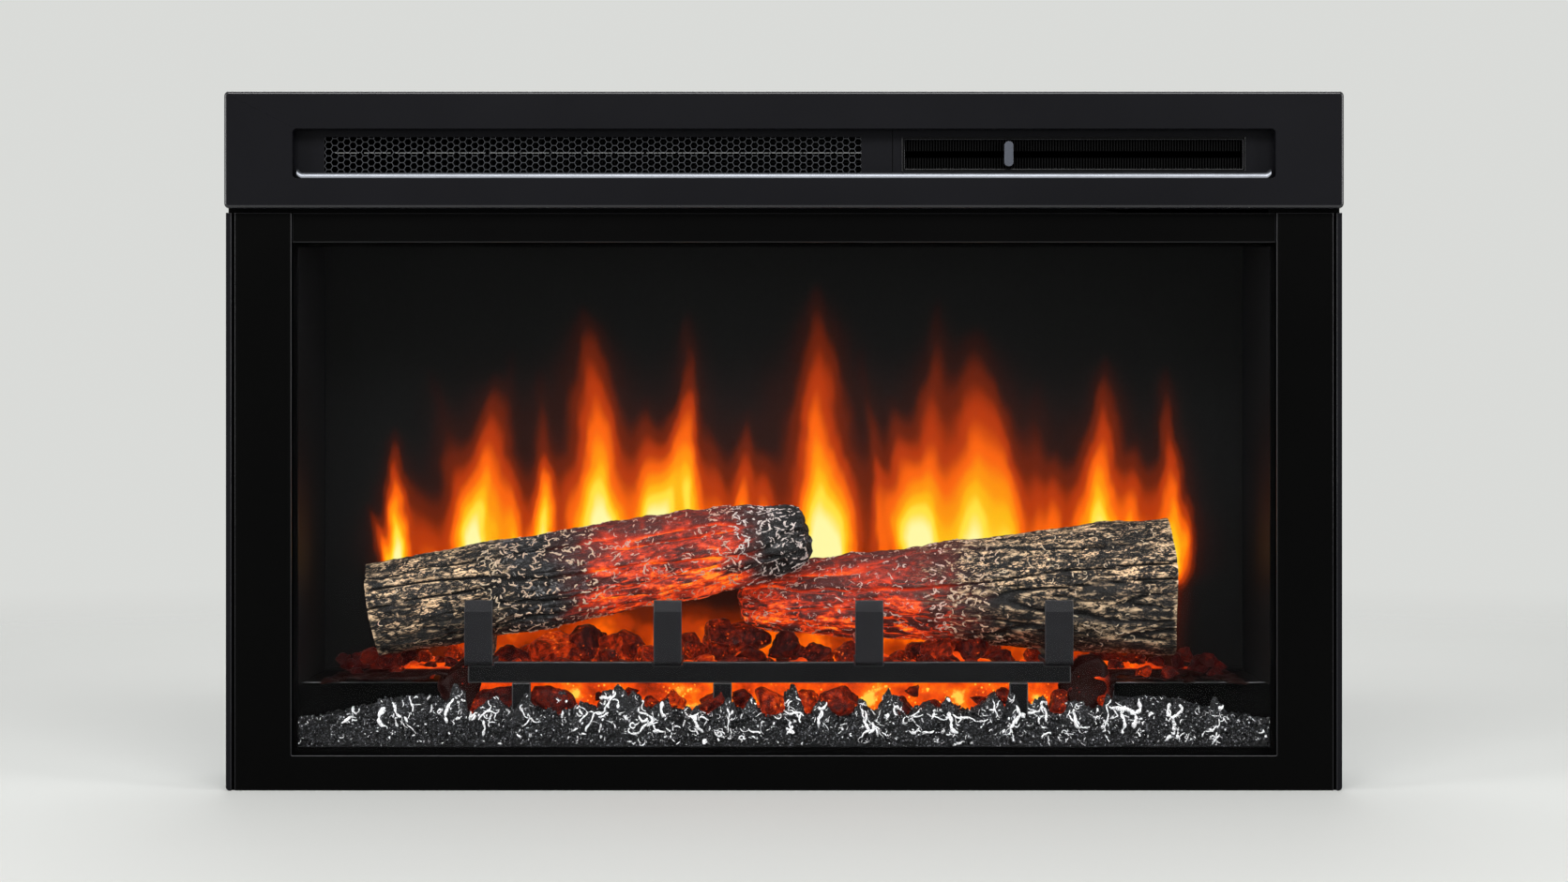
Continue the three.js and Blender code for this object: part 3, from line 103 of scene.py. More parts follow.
# Properties
class CoatProperties(bpy.types.PropertyGroup):
    """Colours of the painted and plated pieces"""

    head: FloatVectorProperty(
        name="Head panel", description="Powder coat of the head panel and the trims", subtype="COLOR",
        size=3, min=0, max=1, default=(0.0042, 0.0042, 0.0054),
    )
    frame: FloatVectorProperty(
        name="Frame", description="Satin coat of the frame round the glass", subtype="COLOR",
        size=3, min=0, max=1, default=(0.0008, 0.0008, 0.0008),
    )
    firebox: FloatVectorProperty(
        name="Firebox", description="Heat-proof paint inside the firebox", subtype="COLOR",
        size=3, min=0, max=1, default=(0.0018, 0.0018, 0.0021),
    )
    grate: FloatVectorProperty(
        name="Grate", description="Matt paint of the grate", subtype="COLOR",
        size=3, min=0, max=1, default=(0.0062, 0.0062, 0.0076),
    )
    lip: FloatVectorProperty(
        name="Slot lip", description="Bright aluminium under the slot", subtype="COLOR",
        size=3, min=0, max=1, default=(0.212, 0.222, 0.246),
    )
    zinc: FloatVectorProperty(
        name="Cabinet", description="Galvanised steel of the cabinet", subtype="COLOR",
        size=3, min=0, max=1, default=(0.42, 0.44, 0.46),
    )


class EdgeProperties(bpy.types.PropertyGroup):
    """Roundings of pressed, cast and moulded edges"""

    panel: FloatProperty(
        name="Head panel fold", description="Radius of the head panel's outer fold",
        default=2.2 * MM, min=0, unit="LENGTH",
    )
    sheet: FloatProperty(
        name="Sheet edge", description="Rounding of the sheet pieces' cut edges",
        default=0.5 * MM, min=0, unit="LENGTH",
    )
    bar: FloatProperty(
        name="Grate edge", description="Rounding of the flat bars",
        default=1.0 * MM, min=0, unit="LENGTH",
    )
    moulding: FloatProperty(
        name="Moulding edge", description="Rounding of the plastic mouldings",
        default=0.7 * MM, min=0, unit="LENGTH",
    )


class OutletProperties(bpy.types.PropertyGroup):
    """The heater outlet's mesh and the ribs of the control window"""

    cell: FloatProperty(
        name="Cell pitch", description="Height of one hexagon of the mesh",
        default=5.2 * MM, min=1 * MM, unit="LENGTH",
    )
    column: FloatProperty(
        name="Column pitch", description="Distance between two columns of hexagons",
        default=4.6 * MM, min=1 * MM, unit="LENGTH",
    )
    strand: FloatProperty(
        name="Strand", description="Width of the metal between two hexagons",
        default=0.37 * MM, min=0.1 * MM, unit="LENGTH",
    )
    rib: FloatProperty(
        name="Rib pitch", description="Distance between two ribs behind the slider",
        default=2.1 * MM, min=0.5 * MM, unit="LENGTH",
    )


class LogProperties(bpy.types.PropertyGroup):
    """Bark and char of the cast logs"""

    sides: IntProperty(
        name="Sides", description="Points round a log", default=220, min=24, max=300,
    )
    rings: IntProperty(
        name="Rings", description="Cuts along a log", default=190, min=20, max=300,
    )
    furrow: FloatProperty(
        name="Furrow depth", description="Depth of the bark's long furrows",
        default=3.8 * MM, min=0, unit="LENGTH",
    )
    check: FloatProperty(
        name="Check depth", description="Depth of the cracks between the charred blocks",
        default=1.6 * MM, min=0, unit="LENGTH",
    )
    grain: FloatProperty(
        name="Grain depth", description="Depth of the fine roughness",
        default=0.7 * MM, min=0, unit="LENGTH",
    )


class BedProperties(bpy.types.PropertyGroup):
    """Glowing coals and cold cinders"""

    coals: IntProperty(
        name="Coals", description="Lumps that lie on the glowing bed", default=70, min=0, max=200,
    )
    coal: FloatProperty(
        name="Coal size", description="Mean radius of a coal",
        default=10 * MM, min=1 * MM, unit="LENGTH",
    )
    grains: IntProperty(
        name="Cinders", description="Small cinders in the trough", default=6200, min=0, max=9000,
    )
    grain: FloatProperty(
        name="Cinder size", description="Mean radius of a small cinder",
        default=1.7 * MM, min=0.3 * MM, unit="LENGTH",
    )


class FlameProperties(bpy.types.PropertyGroup):
    """The flames on the rear screen"""

    glow: FloatProperty(
        name="Flame strength", description="Strength of the flames' light", default=1.0, min=0, max=4,
    )
    softness: FloatProperty(
        name="Waver", description="How far the flames' edges wander",
        default=7 * MM, min=0, unit="LENGTH",
    )


class StageProperties(bpy.types.PropertyGroup):
    """Camera, lamps and floor"""

    lens: FloatProperty(
        name="Lens", description="Focal length on a 36 mm sensor",
        default=SENSOR_WIDTH * CAMERA_DISTANCE / (PHOTO_WIDTH * PHOTO_SCALE), min=10, max=200,
    )
    floor: FloatVectorProperty(
        name="Floor", description="Colour of the floor and of the background", subtype="COLOR",
        size=3, min=0, max=1, default=(0.70, 0.71, 0.69),
    )
    key: FloatProperty(
        name="Top softbox", description="Power of the softbox over the camera", default=95, min=0,
        subtype="POWER", unit="POWER",
    )
    side: FloatProperty(
        name="Side softboxes", description="Power of each side softbox", default=38, min=0,
        subtype="POWER", unit="POWER",
    )
    ambient: FloatProperty(
        name="Ambient", description="Level of the light from all round", default=0.35, min=0, max=1,
    )


# Selecting and copying
def clear_selection():
    """Leaves edit mode and deselects everything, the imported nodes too."""
    active = bpy.context.object
    if active and active.mode != "OBJECT":
        bpy.ops.object.mode_set(mode="OBJECT")
    bpy.ops.object.select_all(action="DESELECT")


def make_active(piece):
    """Makes a piece the only selected and the active one."""
    clear_selection()
    piece.select_set(True)
    bpy.context.view_layer.objects.active = piece


def place_in_mesh(piece):
    """Moves a piece's place into its mesh, so that its object sits at the origin."""
    make_active(piece)
    bpy.ops.object.transform_apply(location=True, rotation=True, scale=True)
    return piece


def edit_all():
    """Enters edit mode with everything selected."""
    bpy.ops.object.mode_set(mode="EDIT")
    bpy.ops.mesh.select_all(action="SELECT")


def leave_edit():
    """Leaves edit mode."""
    bpy.ops.object.mode_set(mode="OBJECT")


def select_where(piece, mode, wanted):
    """Selects the faces or the edges that a test picks, and leaves the piece in edit mode."""
    bpy.ops.object.mode_set(mode="EDIT")
    bpy.ops.mesh.select_mode(type=mode)
    bpy.ops.mesh.select_all(action="DESELECT")
    leave_edit()
    for part in piece.data.polygons if mode == "FACE" else piece.data.edges:
        part.select = wanted(part)
    bpy.ops.object.mode_set(mode="EDIT")


def select_faces(piece, wanted):
    """Selects the faces that a test picks."""
    select_where(piece, "FACE", wanted)


def select_edges(piece, wanted):
    """Selects the edges whose two ends pass a test."""
    select_where(piece, "EDGE", lambda edge: wanted(*(piece.data.vertices[i].co for i in edge.vertices)))


def new_object(name, data):
    """An object with its data, linked to the scene."""
    piece = bpy.data.objects.new(name, data)
    bpy.context.scene.collection.objects.link(piece)
    return piece


def merged_copy(node, name):
    """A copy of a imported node, its loose triangles joined into whole faces."""
    piece = frame["nodes"][node].copy()
    piece.data = piece.data.copy()
    piece.parent = None
    piece.matrix_world = Matrix.Identity(4)
    piece.name = name
    for key in list(piece.keys()):
        del piece[key]
    bpy.context.scene.collection.objects.link(piece)
    piece.hide_render = False
    make_active(piece)
    edit_all()
    bpy.ops.mesh.remove_doubles(threshold=MERGE_DISTANCE)
    bpy.ops.mesh.dissolve_limited(angle_limit=math.radians(1))
    leave_edit()
    return piece


def cut_across(piece, axis, places):
    """Cuts a piece's faces by planes square to an axis, so that none goes round an opening."""
    direction = Vector([float(name == axis) for name in "XYZ"])
    make_active(piece)
    bpy.ops.object.mode_set(mode="EDIT")
    for place in places:
        bpy.ops.mesh.select_all(action="SELECT")
        bpy.ops.mesh.bisect(plane_co=direction * place, plane_no=direction)
    leave_edit()


def apply_modifier(piece, kind, **settings):
    """Adds a modifier with its settings and applies it."""
    make_active(piece)
    modifier = piece.modifiers.new(kind.title(), kind)
    for name, value in settings.items():
        setattr(modifier, name, value)
    bpy.ops.object.modifier_apply(modifier=modifier.name)


def repeat(piece, count, step):
    """Repeats a piece's mesh in a row, each copy one step further."""
    apply_modifier(
        piece, "ARRAY", count=count, use_relative_offset=False, use_constant_offset=True,
        constant_offset_displace=step,
    )


def smooth(piece, angle=35):
    """Shades a piece smooth up to an angle."""
    make_active(piece)
    bpy.ops.object.shade_smooth_by_angle(angle=math.radians(angle))


def fit(piece, material, nodes=(), body="cabinet"):
    """Gives a piece its finish, its body and the nodes that it stands for."""
    if material:
        piece.data.materials.clear()
        piece.data.materials.append(material)
    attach(piece, body)
    if nodes:
        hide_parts(*nodes)
    return piece


def round_edges(piece, width, segments=2, angle=32):
    """Rounds a piece's sharp edges, and gives the rounded faces its second finish, a painted highlight, if
    it has one.
    """
    apply_modifier(
        piece, "BEVEL", width=width, segments=segments, limit_method="ANGLE",
        angle_limit=math.radians(angle), use_clamp_overlap=True, miter_outer="MITER_ARC",
        material=len(piece.data.materials) - 1,
    )
    smooth(piece)
    apply_modifier(piece, "WEIGHTED_NORMAL", keep_sharp=True)


def dressed(node, finish, width, segments=2, edge=None, body="cabinet"):
    """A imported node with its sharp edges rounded, in place of the node."""
    piece = merged_copy(node, node + "_dressed")
    give_finish_and_edge_highlight(piece, finish, edge)
    round_edges(piece, width, segments)
    return fit(piece, None, (node,), body)


def give_finish_and_edge_highlight(piece, finish, edge=None):
    """Gives a piece its finish, and a second, lighter one for its edges: a painted highlight."""
    piece.data.materials.clear()
    for name in filter(None, (finish, edge)):
        piece.data.materials.append(FINISHES[name])


def repaint(node, material):
    """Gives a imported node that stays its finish."""
    node_object = frame["nodes"][node]
    if not node_object.material_slots:
        node_object.data.materials.append(material)
    for material_slot in node_object.material_slots:
        material_slot.material = material


def prism(name, corners, start, end):
    """A straight bar along X with the outline of the corners, given as (y, z) pairs."""
    clear_selection()
    bpy.ops.mesh.primitive_circle_add(vertices=len(corners), fill_type="NGON", location=(0, 0, 0))
    piece = bpy.context.object
    piece.name = name
    for point, (y, z) in zip(piece.data.vertices, corners):
        point.co = (start, y, z)
    edit_all()
    bpy.ops.mesh.extrude_region_move(TRANSFORM_OT_translate={"value": (end - start, 0, 0)})
    bpy.ops.mesh.select_all(action="SELECT")
    bpy.ops.mesh.normals_make_consistent(inside=False)
    leave_edit()
    return piece


def mesh_of_copies(name, shapes, places):
    """One mesh of many small shapes: each place has a shape's number and a matrix."""
    points, faces = [], []
    for number, matrix in places:
        shape_points, shape_faces = shapes[number]
        first = len(points)
        points.extend(matrix @ point for point in shape_points)
        faces.extend(tuple(first + i for i in face) for face in shape_faces)
    mesh = bpy.data.meshes.new(name)
    mesh.from_pydata(points, [], faces)
    return new_object(name, mesh)


def rough_stone(name, detail, seed, cuts, rough):
    """A unit lump: a ball of triangles cut by flat planes, then roughened."""
    clear_selection()
    bpy.ops.mesh.primitive_ico_sphere_add(subdivisions=detail, radius=1, location=(0, 0, 0))
    piece = bpy.context.object
    piece.name = name
    chooser = random.Random(seed)
    offset = Vector((seed * 3.7, seed * 1.3, seed * 2.9))
    planes = []
    for _ in range(cuts):
        direction = Vector([chooser.gauss(0, 1) for _ in range(3)]).normalized()
        planes.append((direction, chooser.uniform(0.45, 0.85)))
    for point in piece.data.vertices:
        place = point.co.copy()
        for direction, limit in planes:
            place -= direction * max(0.0, place.dot(direction) - limit) * 0.92
        lump = noise.noise(place * 1.3 + offset) * 0.25 + noise.noise(place * 4 + offset) * rough
        point.co = place * (1 + lump + noise.noise(place * 9 + offset) * rough * 0.6)
    return piece


def take_shape(piece):
    """The points and faces of a piece, which is then deleted."""
    shape = (
        [point.co.copy() for point in piece.data.vertices],
        [tuple(face.vertices) for face in piece.data.polygons],
    )
    bpy.data.objects.remove(piece)
    return shape


def surface_of(*pieces):
    """A search tree over the faces of one or more pieces."""
    points, faces = [], []
    for piece in pieces:
        first = len(points)
        points.extend(point.co.copy() for point in piece.data.vertices)
        faces.extend(tuple(first + i for i in face.vertices) for face in piece.data.polygons)
    return BVHTree.FromPolygons(points, faces)


def ash_walk(chooser, surface, place, heading, steps, stride):
    """A crooked line over a surface: it keeps its bend, and strays from it a little."""
    place, normal = surface.find_nearest(place)[:2]
    bend = chooser.gauss(0, 0.45)
    line = [place]
    for _ in range(steps):
        heading = Matrix.Rotation(bend + chooser.gauss(0, 0.35), 3, normal) @ heading
        heading = (heading - normal * heading.dot(normal)).normalized()
        place, normal = surface.find_nearest(place + heading * stride)[:2]
        line.append(place)
    return line


def ash_crust(name, lines, chooser, finish):
    """Raised crusts of ash: a tube along each line, of a radius in millimetres that varies by chance."""
    curve = bpy.data.curves.new(name, "CURVE")
    curve.dimensions = "3D"
    curve.bevel_depth = MM
    curve.bevel_resolution = 1
    curve.use_fill_caps = True
    for line, radius in lines:
        spline = curve.splines.new("POLY")
        spline.points.add(len(line) - 1)
        for number, place in enumerate(line):
            at_end = number in (0, len(line) - 1)
            spline.points[number].co = (*place, 1)
            spline.points[number].radius = radius * chooser.uniform(0.5, 1.5) * (0.55 if at_end else 1)
    make_active(new_object(name, curve))
    bpy.ops.object.convert(target="MESH")
    piece = bpy.context.object
    smooth(piece, 60)
    return fit(piece, finish)


def random_turn(chooser):
    """A turn about three axes by chance."""
    x, y, z = (Matrix.Rotation(chooser.uniform(0, math.tau), 4, axis) for axis in "XYZ")
    return x @ y @ z


def write_attribute(piece, name, values):
    """Keeps one number at each point of a mesh for its material."""
    layer = piece.data.attributes.new(name, "FLOAT", "POINT")
    layer.data.foreach_set("value", values)


# Shader nodes
def set_inputs(tree, node, inputs):
    """Links the inputs that are given a socket, and sets the others."""
    for key, value in inputs.items():
        if isinstance(value, bpy.types.NodeSocket):
            tree.links.new(value, node.inputs[key])
        else:
            node.inputs[key].default_value = value


def add_node(tree, kind, inputs=None, **settings):
    """A node with its settings, and its inputs set or linked."""
    node = tree.nodes.new(kind)
    for name, value in settings.items():
        setattr(node, name, value)
    set_inputs(tree, node, inputs or {})
    return node


def wire(tree, node, **values):
    """Links values that change over the surface to a node's inputs, underscores standing for spaces."""
    for name, value in values.items():
        tree.links.new(value, node.inputs[name.replace("_", " ")])


def sums(tree, operation, *values, clamp=False):
    """A Math node of an operation on one to three values."""
    inputs = dict(enumerate(values))
    return add_node(tree, "ShaderNodeMath", inputs, operation=operation, use_clamp=clamp).outputs[0]


def product(tree, first, *others):
    """The product of two or more values."""
    for value in others:
        first = sums(tree, "MULTIPLY", first, value)
    return first


def strayed(tree, value, noise_value, amount):
    """A value that a noise moves up and down."""
    return sums(tree, "MULTIPLY_ADD", sums(tree, "SUBTRACT", noise_value, 0.5), amount, value)


def ranged(tree, value, low, high, out_low=0.0, out_high=1.0, smooth_step=False):
    """A value mapped from one range to another and kept inside it."""
    inputs = {"Value": value, "From Min": low, "From Max": high, "To Min": out_low, "To Max": out_high}
    kind = "SMOOTHSTEP" if smooth_step else "LINEAR"
    return add_node(tree, "ShaderNodeMapRange", inputs, interpolation_type=kind).outputs["Result"]


def toned(colour, share):
    """A colour made darker or lighter."""
    return tuple(min(1.0, part * share) for part in colour)


def colour4(colour):
    """A colour with its alpha, or the socket that was given."""
    if isinstance(colour, bpy.types.NodeSocket) or len(colour) == 4:
        return colour
    return (*colour, 1.0)


def mixed(tree, factor, first, second):
    """A colour mixed from two."""
    node = add_node(tree, "ShaderNodeMix", data_type="RGBA")
    given = {"Factor_Float": factor, "A_Color": colour4(first), "B_Color": colour4(second)}
    places = {socket.identifier: number for number, socket in enumerate(node.inputs)}
    set_inputs(tree, node, {places[name]: value for name, value in given.items()})
    return next(socket for socket in node.outputs if socket.identifier == "Result_Color")


def ramp(tree, factor, stops, interpolation="LINEAR"):
    """A colour ramp from (place, colour) stops."""
    node = add_node(tree, "ShaderNodeValToRGB", {"Fac": factor})
    elements = node.color_ramp.elements
    node.color_ramp.interpolation = interpolation
    while len(elements) < len(stops):
        elements.new(0.5)
    for element, (place, colour) in zip(elements, stops):
        element.position = place
        element.color = colour4(colour)
    return node.outputs["Color"]


def speckle(tree, vector, scale, detail=3.0, rough=0.55, distortion=0.0):
    """The value of a noise texture."""
    inputs = {
        "Vector": vector, "Scale": scale, "Detail": detail, "Roughness": rough, "Distortion": distortion,
    }
    return add_node(tree, "ShaderNodeTexNoise", inputs).outputs["Fac"]


def cells(tree, vector, scale, feature="F1", output="Distance", randomness=1.0):
    """One output of a Voronoi texture."""
    inputs = {"Vector": vector, "Scale": scale, "Randomness": randomness}
    return add_node(tree, "ShaderNodeTexVoronoi", inputs, feature=feature).outputs[output]


def mapped(tree, vector, scale=(1, 1, 1), turn=(0, 0, 0), shift=(0, 0, 0)):
    """A place scaled, turned and shifted."""
    inputs = {"Vector": vector, "Location": shift, "Rotation": turn, "Scale": scale}
    return add_node(tree, "ShaderNodeMapping", inputs).outputs["Vector"]


def object_place(tree, **changes):
    """The object coordinates, scaled, turned and shifted."""
    return mapped(tree, add_node(tree, "ShaderNodeTexCoord").outputs["Object"], **changes)


def split(tree, place):
    """The X, Y and Z of a place."""
    return add_node(tree, "ShaderNodeSeparateXYZ", {0: place}).outputs


def kept_number(tree, name):
    """The number that the mesh keeps at its points under a name."""
    return add_node(tree, "ShaderNodeAttribute", attribute_name=name).outputs["Fac"]


def bump(tree, height, strength, distance):
    """A normal from a height, its distance in millimetres."""
    inputs = {"Height": height, "Strength": strength, "Distance": distance * MM}
    return add_node(tree, "ShaderNodeBump", inputs).outputs["Normal"]


def new_group(name, sockets, outputs):
    """An empty node group with named number or vector inputs and outputs."""
    group = bpy.data.node_groups.new(name, "ShaderNodeTree")
    for label, kind, default in sockets:
        socket = group.interface.new_socket(label, in_out="INPUT", socket_type=kind)
        if default is not None:
            socket.default_value = default
    for label in outputs:
        group.interface.new_socket(label, in_out="OUTPUT", socket_type=NUMBER)
    return group, group.nodes.new("NodeGroupInput").outputs, group.nodes.new("NodeGroupOutput")


def place_group(tree, name, **inputs):
    """A group placed in a tree with its inputs set, underscores standing for spaces."""
    named = {key.replace("_", " "): value for key, value in inputs.items()}
    return add_node(tree, "ShaderNodeGroup", named, node_tree=bpy.data.node_groups[name]).outputs


def new_material(name, glows=False, **base_in_painted_shade):
    """A material with a Principled shader whose plain inputs are set. One that glows isn't a lamp."""
    material = bpy.data.materials.new(name)
    material.use_nodes = True
    if glows:
        material.cycles.emission_sampling = "NONE"
    tree = material.node_tree
    shader = next(node for node in tree.nodes if node.type == "BSDF_PRINCIPLED")
    for key, value in base_in_painted_shade.items():
        shader.inputs[key.replace("_", " ")].default_value = value
    return material, tree, shader


def let_through(tree, shader, share):
    """Mixes a material's shader with a clear one, by a share from 0 to 1."""
    clear = add_node(tree, "ShaderNodeBsdfTransparent").outputs[0]
    both = add_node(tree, "ShaderNodeMixShader", {0: share, 1: shader.outputs[0], 2: clear})
    out = next(node for node in tree.nodes if node.type == "OUTPUT_MATERIAL")
    tree.links.new(both.outputs[0], out.inputs["Surface"])


NUMBER = "NodeSocketFloat"
PLACE = "NodeSocketVector"


def grain_group():
    """Fine orange peel of a powder coat, with a slow change of shade."""
    group, given, out = new_group(
        "coat grain", [("Vector", PLACE, None), ("Scale", NUMBER, 900.0)], ("Height", "Shade"),
    )
    vector, scale = given["Vector"], given["Scale"]
    fine = speckle(group, vector, scale, 2.0)
    dust = speckle(group, vector, product(group, scale, 0.31), 1.0)
    broad = speckle(group, vector, 7.0, 3.0)
    cloud = ranged(group, broad, 0.3, 0.7)
    speck = ranged(group, fine, 0.35, 0.65)
    wire(
        group, out, Height=sums(group, "MULTIPLY_ADD", dust, 0.5, fine),
        Shade=sums(group, "MULTIPLY_ADD", speck, 0.35, product(group, cloud, 0.65)),
    )


def lace_group():
    """Short squiggles of ash: the contour lines of a noise, broken by another."""
    group, given, out = new_group(
        "ash lace",
        [("Vector", PLACE, None), ("Scale", NUMBER, 130.0), ("Width", NUMBER, 0.03),
         ("Cover", NUMBER, 0.5)],
        ("Mask",),
    )
    vector, scale = given["Vector"], given["Scale"]
    field = speckle(group, vector, scale, 2.5, 0.6, 0.6)
    line = sums(group, "ABSOLUTE", sums(group, "SUBTRACT", field, 0.5))
    stroke = sums(group, "SUBTRACT", 1.0, sums(group, "DIVIDE", line, given["Width"]), clamp=True)
    patch = speckle(group, vector, product(group, scale, 0.45), 2.0)
    gate = sums(group, "SUBTRACT", patch, sums(group, "SUBTRACT", 1.0, given["Cover"]))
    wire(group, out, Mask=product(group, stroke, ranged(group, gate, 0.0, 0.06)))


def tongue_group():
    """One flame: how bright it is at a place, from its foot, its tip and its width."""
    group, given, out = new_group(
        "flame tongue",
        [("X", NUMBER, 0.0), ("Z", NUMBER, 0.0), ("Foot X", NUMBER, 0.0), ("Foot Z", NUMBER, 0.0),
         ("Tip X", NUMBER, 0.0), ("Tip Z", NUMBER, 0.1), ("Width", NUMBER, 0.01), ("Heat", NUMBER, 1.0),
         ("Before", NUMBER, 0.0)],
        ("Light",),
    )
    high = sums(group, "SUBTRACT", given["Tip Z"], given["Foot Z"])
    up = sums(group, "DIVIDE", sums(group, "SUBTRACT", given["Z"], given["Foot Z"]), high)
    climb = sums(group, "ADD", up, 0.0, clamp=True)
    lean = sums(group, "SUBTRACT", given["Tip X"], given["Foot X"])
    middle = sums(group, "MULTIPLY_ADD", lean, sums(group, "POWER", climb, 1.4), given["Foot X"])
    left = sums(group, "SUBTRACT", 1.0, climb)
    taper = product(group, sums(group, "POWER", left, 0.55), sums(group, "ADD", climb, 0.85))
    half = sums(group, "MAXIMUM", product(group, taper, given["Width"]), 1.5 * MM)
    across = sums(group, "DIVIDE", sums(group, "SUBTRACT", given["X"], middle), half)
    body = sums(group, "POWER", sums(group, "MULTIPLY_ADD", across, across, 1.0), -1.9)
    fade = product(group, sums(group, "POWER", left, 0.95), ranged(group, up, -0.7, 0.0))
    light = product(group, body, fade)
    wire(group, out, Light=sums(group, "MULTIPLY_ADD", light, given["Heat"], given["Before"]))


def spangle_group():
    """Crystals of hot-dip zinc: flat patches of slightly different tone."""
    group, given, out = new_group(
        "zinc spangle", [("Vector", PLACE, None), ("Scale", NUMBER, 90.0)], ("Tone", "Height"),
    )
    vector, scale = given["Vector"], given["Scale"]
    patch = cells(group, vector, scale, output="Color")
    tone = add_node(group, "ShaderNodeSeparateColor", {"Color": patch}).outputs["Red"]
    feather = speckle(group, vector, product(group, scale, 9.0), 3.0)
    wire(group, out, Tone=sums(group, "MULTIPLY_ADD", feather, 0.3, tone), Height=feather)


# Finishes
def coat(name, colour, rough, shine, scale=900.0, relief=0.12):
    """Powder coat or paint with a fine grain."""
    material, tree, shader = new_material(name, Specular_IOR_Level=shine)
    grain = place_group(tree, "coat grain", Vector=object_place(tree), Scale=scale)
    wire(
        tree, shader,
        Base_Color=mixed(tree, grain["Shade"], toned(colour, 0.86), toned(colour, 1.18)),
        Roughness=ranged(tree, grain["Shade"], 0, 1, rough - 0.05, rough + 0.05),
        Normal=bump(tree, grain["Height"], relief, 0.15),
    )
    return material


def metal(name, colour, rough):
    """Drawn or brushed metal, its lines along X."""
    material, tree, shader = new_material(name, Metallic=1.0)
    lines = speckle(tree, object_place(tree, scale=(60, 900, 900)), 1.0, 3.0)
    stain = speckle(tree, object_place(tree), 22.0, 4.0)
    tone = sums(tree, "MULTIPLY_ADD", lines, 0.6, product(tree, stain, 0.4))
    wire(
        tree, shader,
        Base_Color=mixed(tree, tone, toned(colour, 0.8), colour),
        Roughness=ranged(tree, tone, 0.3, 0.7, rough - 0.07, rough + 0.07),
        Normal=bump(tree, lines, 0.08, 0.1),
    )
    return material


def zinc(name, colour):
    """Hot-dip galvanised sheet."""
    material, tree, shader = new_material(name, Metallic=1.0)
    crystals = place_group(tree, "zinc spangle", Vector=object_place(tree), Scale=85.0)
    wire(
        tree, shader,
        Base_Color=mixed(tree, crystals["Tone"], toned(colour, 0.74), colour),
        Roughness=ranged(tree, crystals["Tone"], 0, 1.2, 0.42, 0.60),
        Normal=bump(tree, crystals["Height"], 0.06, 0.1),
    )
    return material


def plastic(name, colour, rough, shine=0.4):
    """Moulded plastic with a spark-eroded grain."""
    return coat(name, colour, rough, shine, 1400.0, 0.08)


def glass(name):
    """Anti-reflex pane that lets the lamps through."""
    material, tree, shader = new_material(
        name, Base_Color=(1, 1, 1, 1), Roughness=0.0, IOR=1.1, Metallic=0.0, Transmission_Weight=1.0,
    )
    path = add_node(tree, "ShaderNodeLightPath").outputs
    let_through(tree, shader, sums(tree, "MAXIMUM", path["Is Shadow Ray"], path["Is Diffuse Ray"]))
    return material


def fibre(name):
    """Woven glass-fibre rope pressed flat."""
    material, tree, shader = new_material(name, Specular_IOR_Level=0.02, Roughness=0.95)
    weave = cells(tree, object_place(tree, turn=(0, math.radians(45), 0)), 700.0, randomness=0.2)
    wire(
        tree, shader,
        Base_Color=mixed(tree, weave, (0.0012, 0.0012, 0.0013), (0.0004, 0.0004, 0.0004)),
        Normal=bump(tree, weave, 0.5, 0.4),
    )
    return material


def board(name, colour):
    """Solder-masked circuit board with faint tracks."""
    material, tree, shader = new_material(name, Roughness=0.35)
    tracks = cells(tree, object_place(tree), 260.0, feature="DISTANCE_TO_EDGE", randomness=0.35)
    line = ranged(tree, tracks, 0.02, 0.06)
    wire(
        tree, shader, Base_Color=mixed(tree, line, toned(colour, 2.2), colour),
        Normal=bump(tree, line, 0.2, 0.1),
    )
    return material


# Flames: foot and tip as photograph pixels, half width in millimetres, and heat
FLAMES = (
    ((426, 604), (421, 452), 11, 0.90), ((412, 604), (390, 535), 8, 0.45),
    ((508, 600), (530, 395), 20, 0.95), ((500, 600), (455, 385), 14, 0.22),
    ((532, 560), (546, 365), 9, 0.18), ((548, 590), (545, 480), 11, 0.50),
    ((577, 586), (583, 480), 11, 0.62), ((580, 540), (579, 390), 9, 0.26),
    ((645, 585), (623, 322), 22, 1.00), ((690, 575), (690, 420), 14, 0.55),
    ((704, 572), (737, 410), 18, 0.80), ((735, 520), (733, 325), 12, 0.45),
    ((765, 560), (757, 445), 12, 0.26), ((790, 555), (799, 432), 12, 0.46),
    ((815, 550), (815, 475), 12, 0.30), ((873, 610), (873, 298), 24, 1.00),
    ((893, 600), (905, 480), 16, 0.50), ((940, 575), (917, 365), 9, 0.22),
    ((976, 600), (952, 420), 17, 0.64), ((988, 580), (1003, 312), 18, 0.50),
    ((1040, 600), (1040, 345), 27, 0.84), ((1076, 595), (1056, 395), 17, 0.50),
    ((1104, 575), (1105, 400), 12, 0.20), ((1120, 588), (1126, 470), 12, 0.36),
    ((1175, 588), (1179, 375), 17, 0.85), ((1205, 580), (1211, 460), 12, 0.45),
    ((1252, 620), (1242, 385), 13, 0.72), ((1265, 580), (1268, 525), 8, 0.30),
    ((960, 575), (928, 480), 14, 0.22), ((460, 610), (440, 500), 20, 0.30),
    ((620, 590), (598, 480), 20, 0.34), ((1010, 600), (1020, 480), 22, 0.20),
    ((1150, 590), (1150, 480), 20, 0.28), ((1225, 590), (1228, 485), 16, 0.28),
    ((740, 565), (715, 455), 22, 0.30),
)
FLAME_COLOURS = (
    (0.0, (0.0, 0.0, 0.0)), (0.07, (0.017, 0.0015, 0.0)), (0.17, (0.125, 0.010, 0.0)),
    (0.30, (0.46, 0.038, 0.0)), (0.43, (0.94, 0.130, 0.0)), (0.56, (1.0, 0.30, 0.0)),
    (0.67, (1.0, 0.50, 0.005)), (0.78, (1.0, 0.74, 0.05)), (1.0, (1.0, 0.94, 0.38)),
)


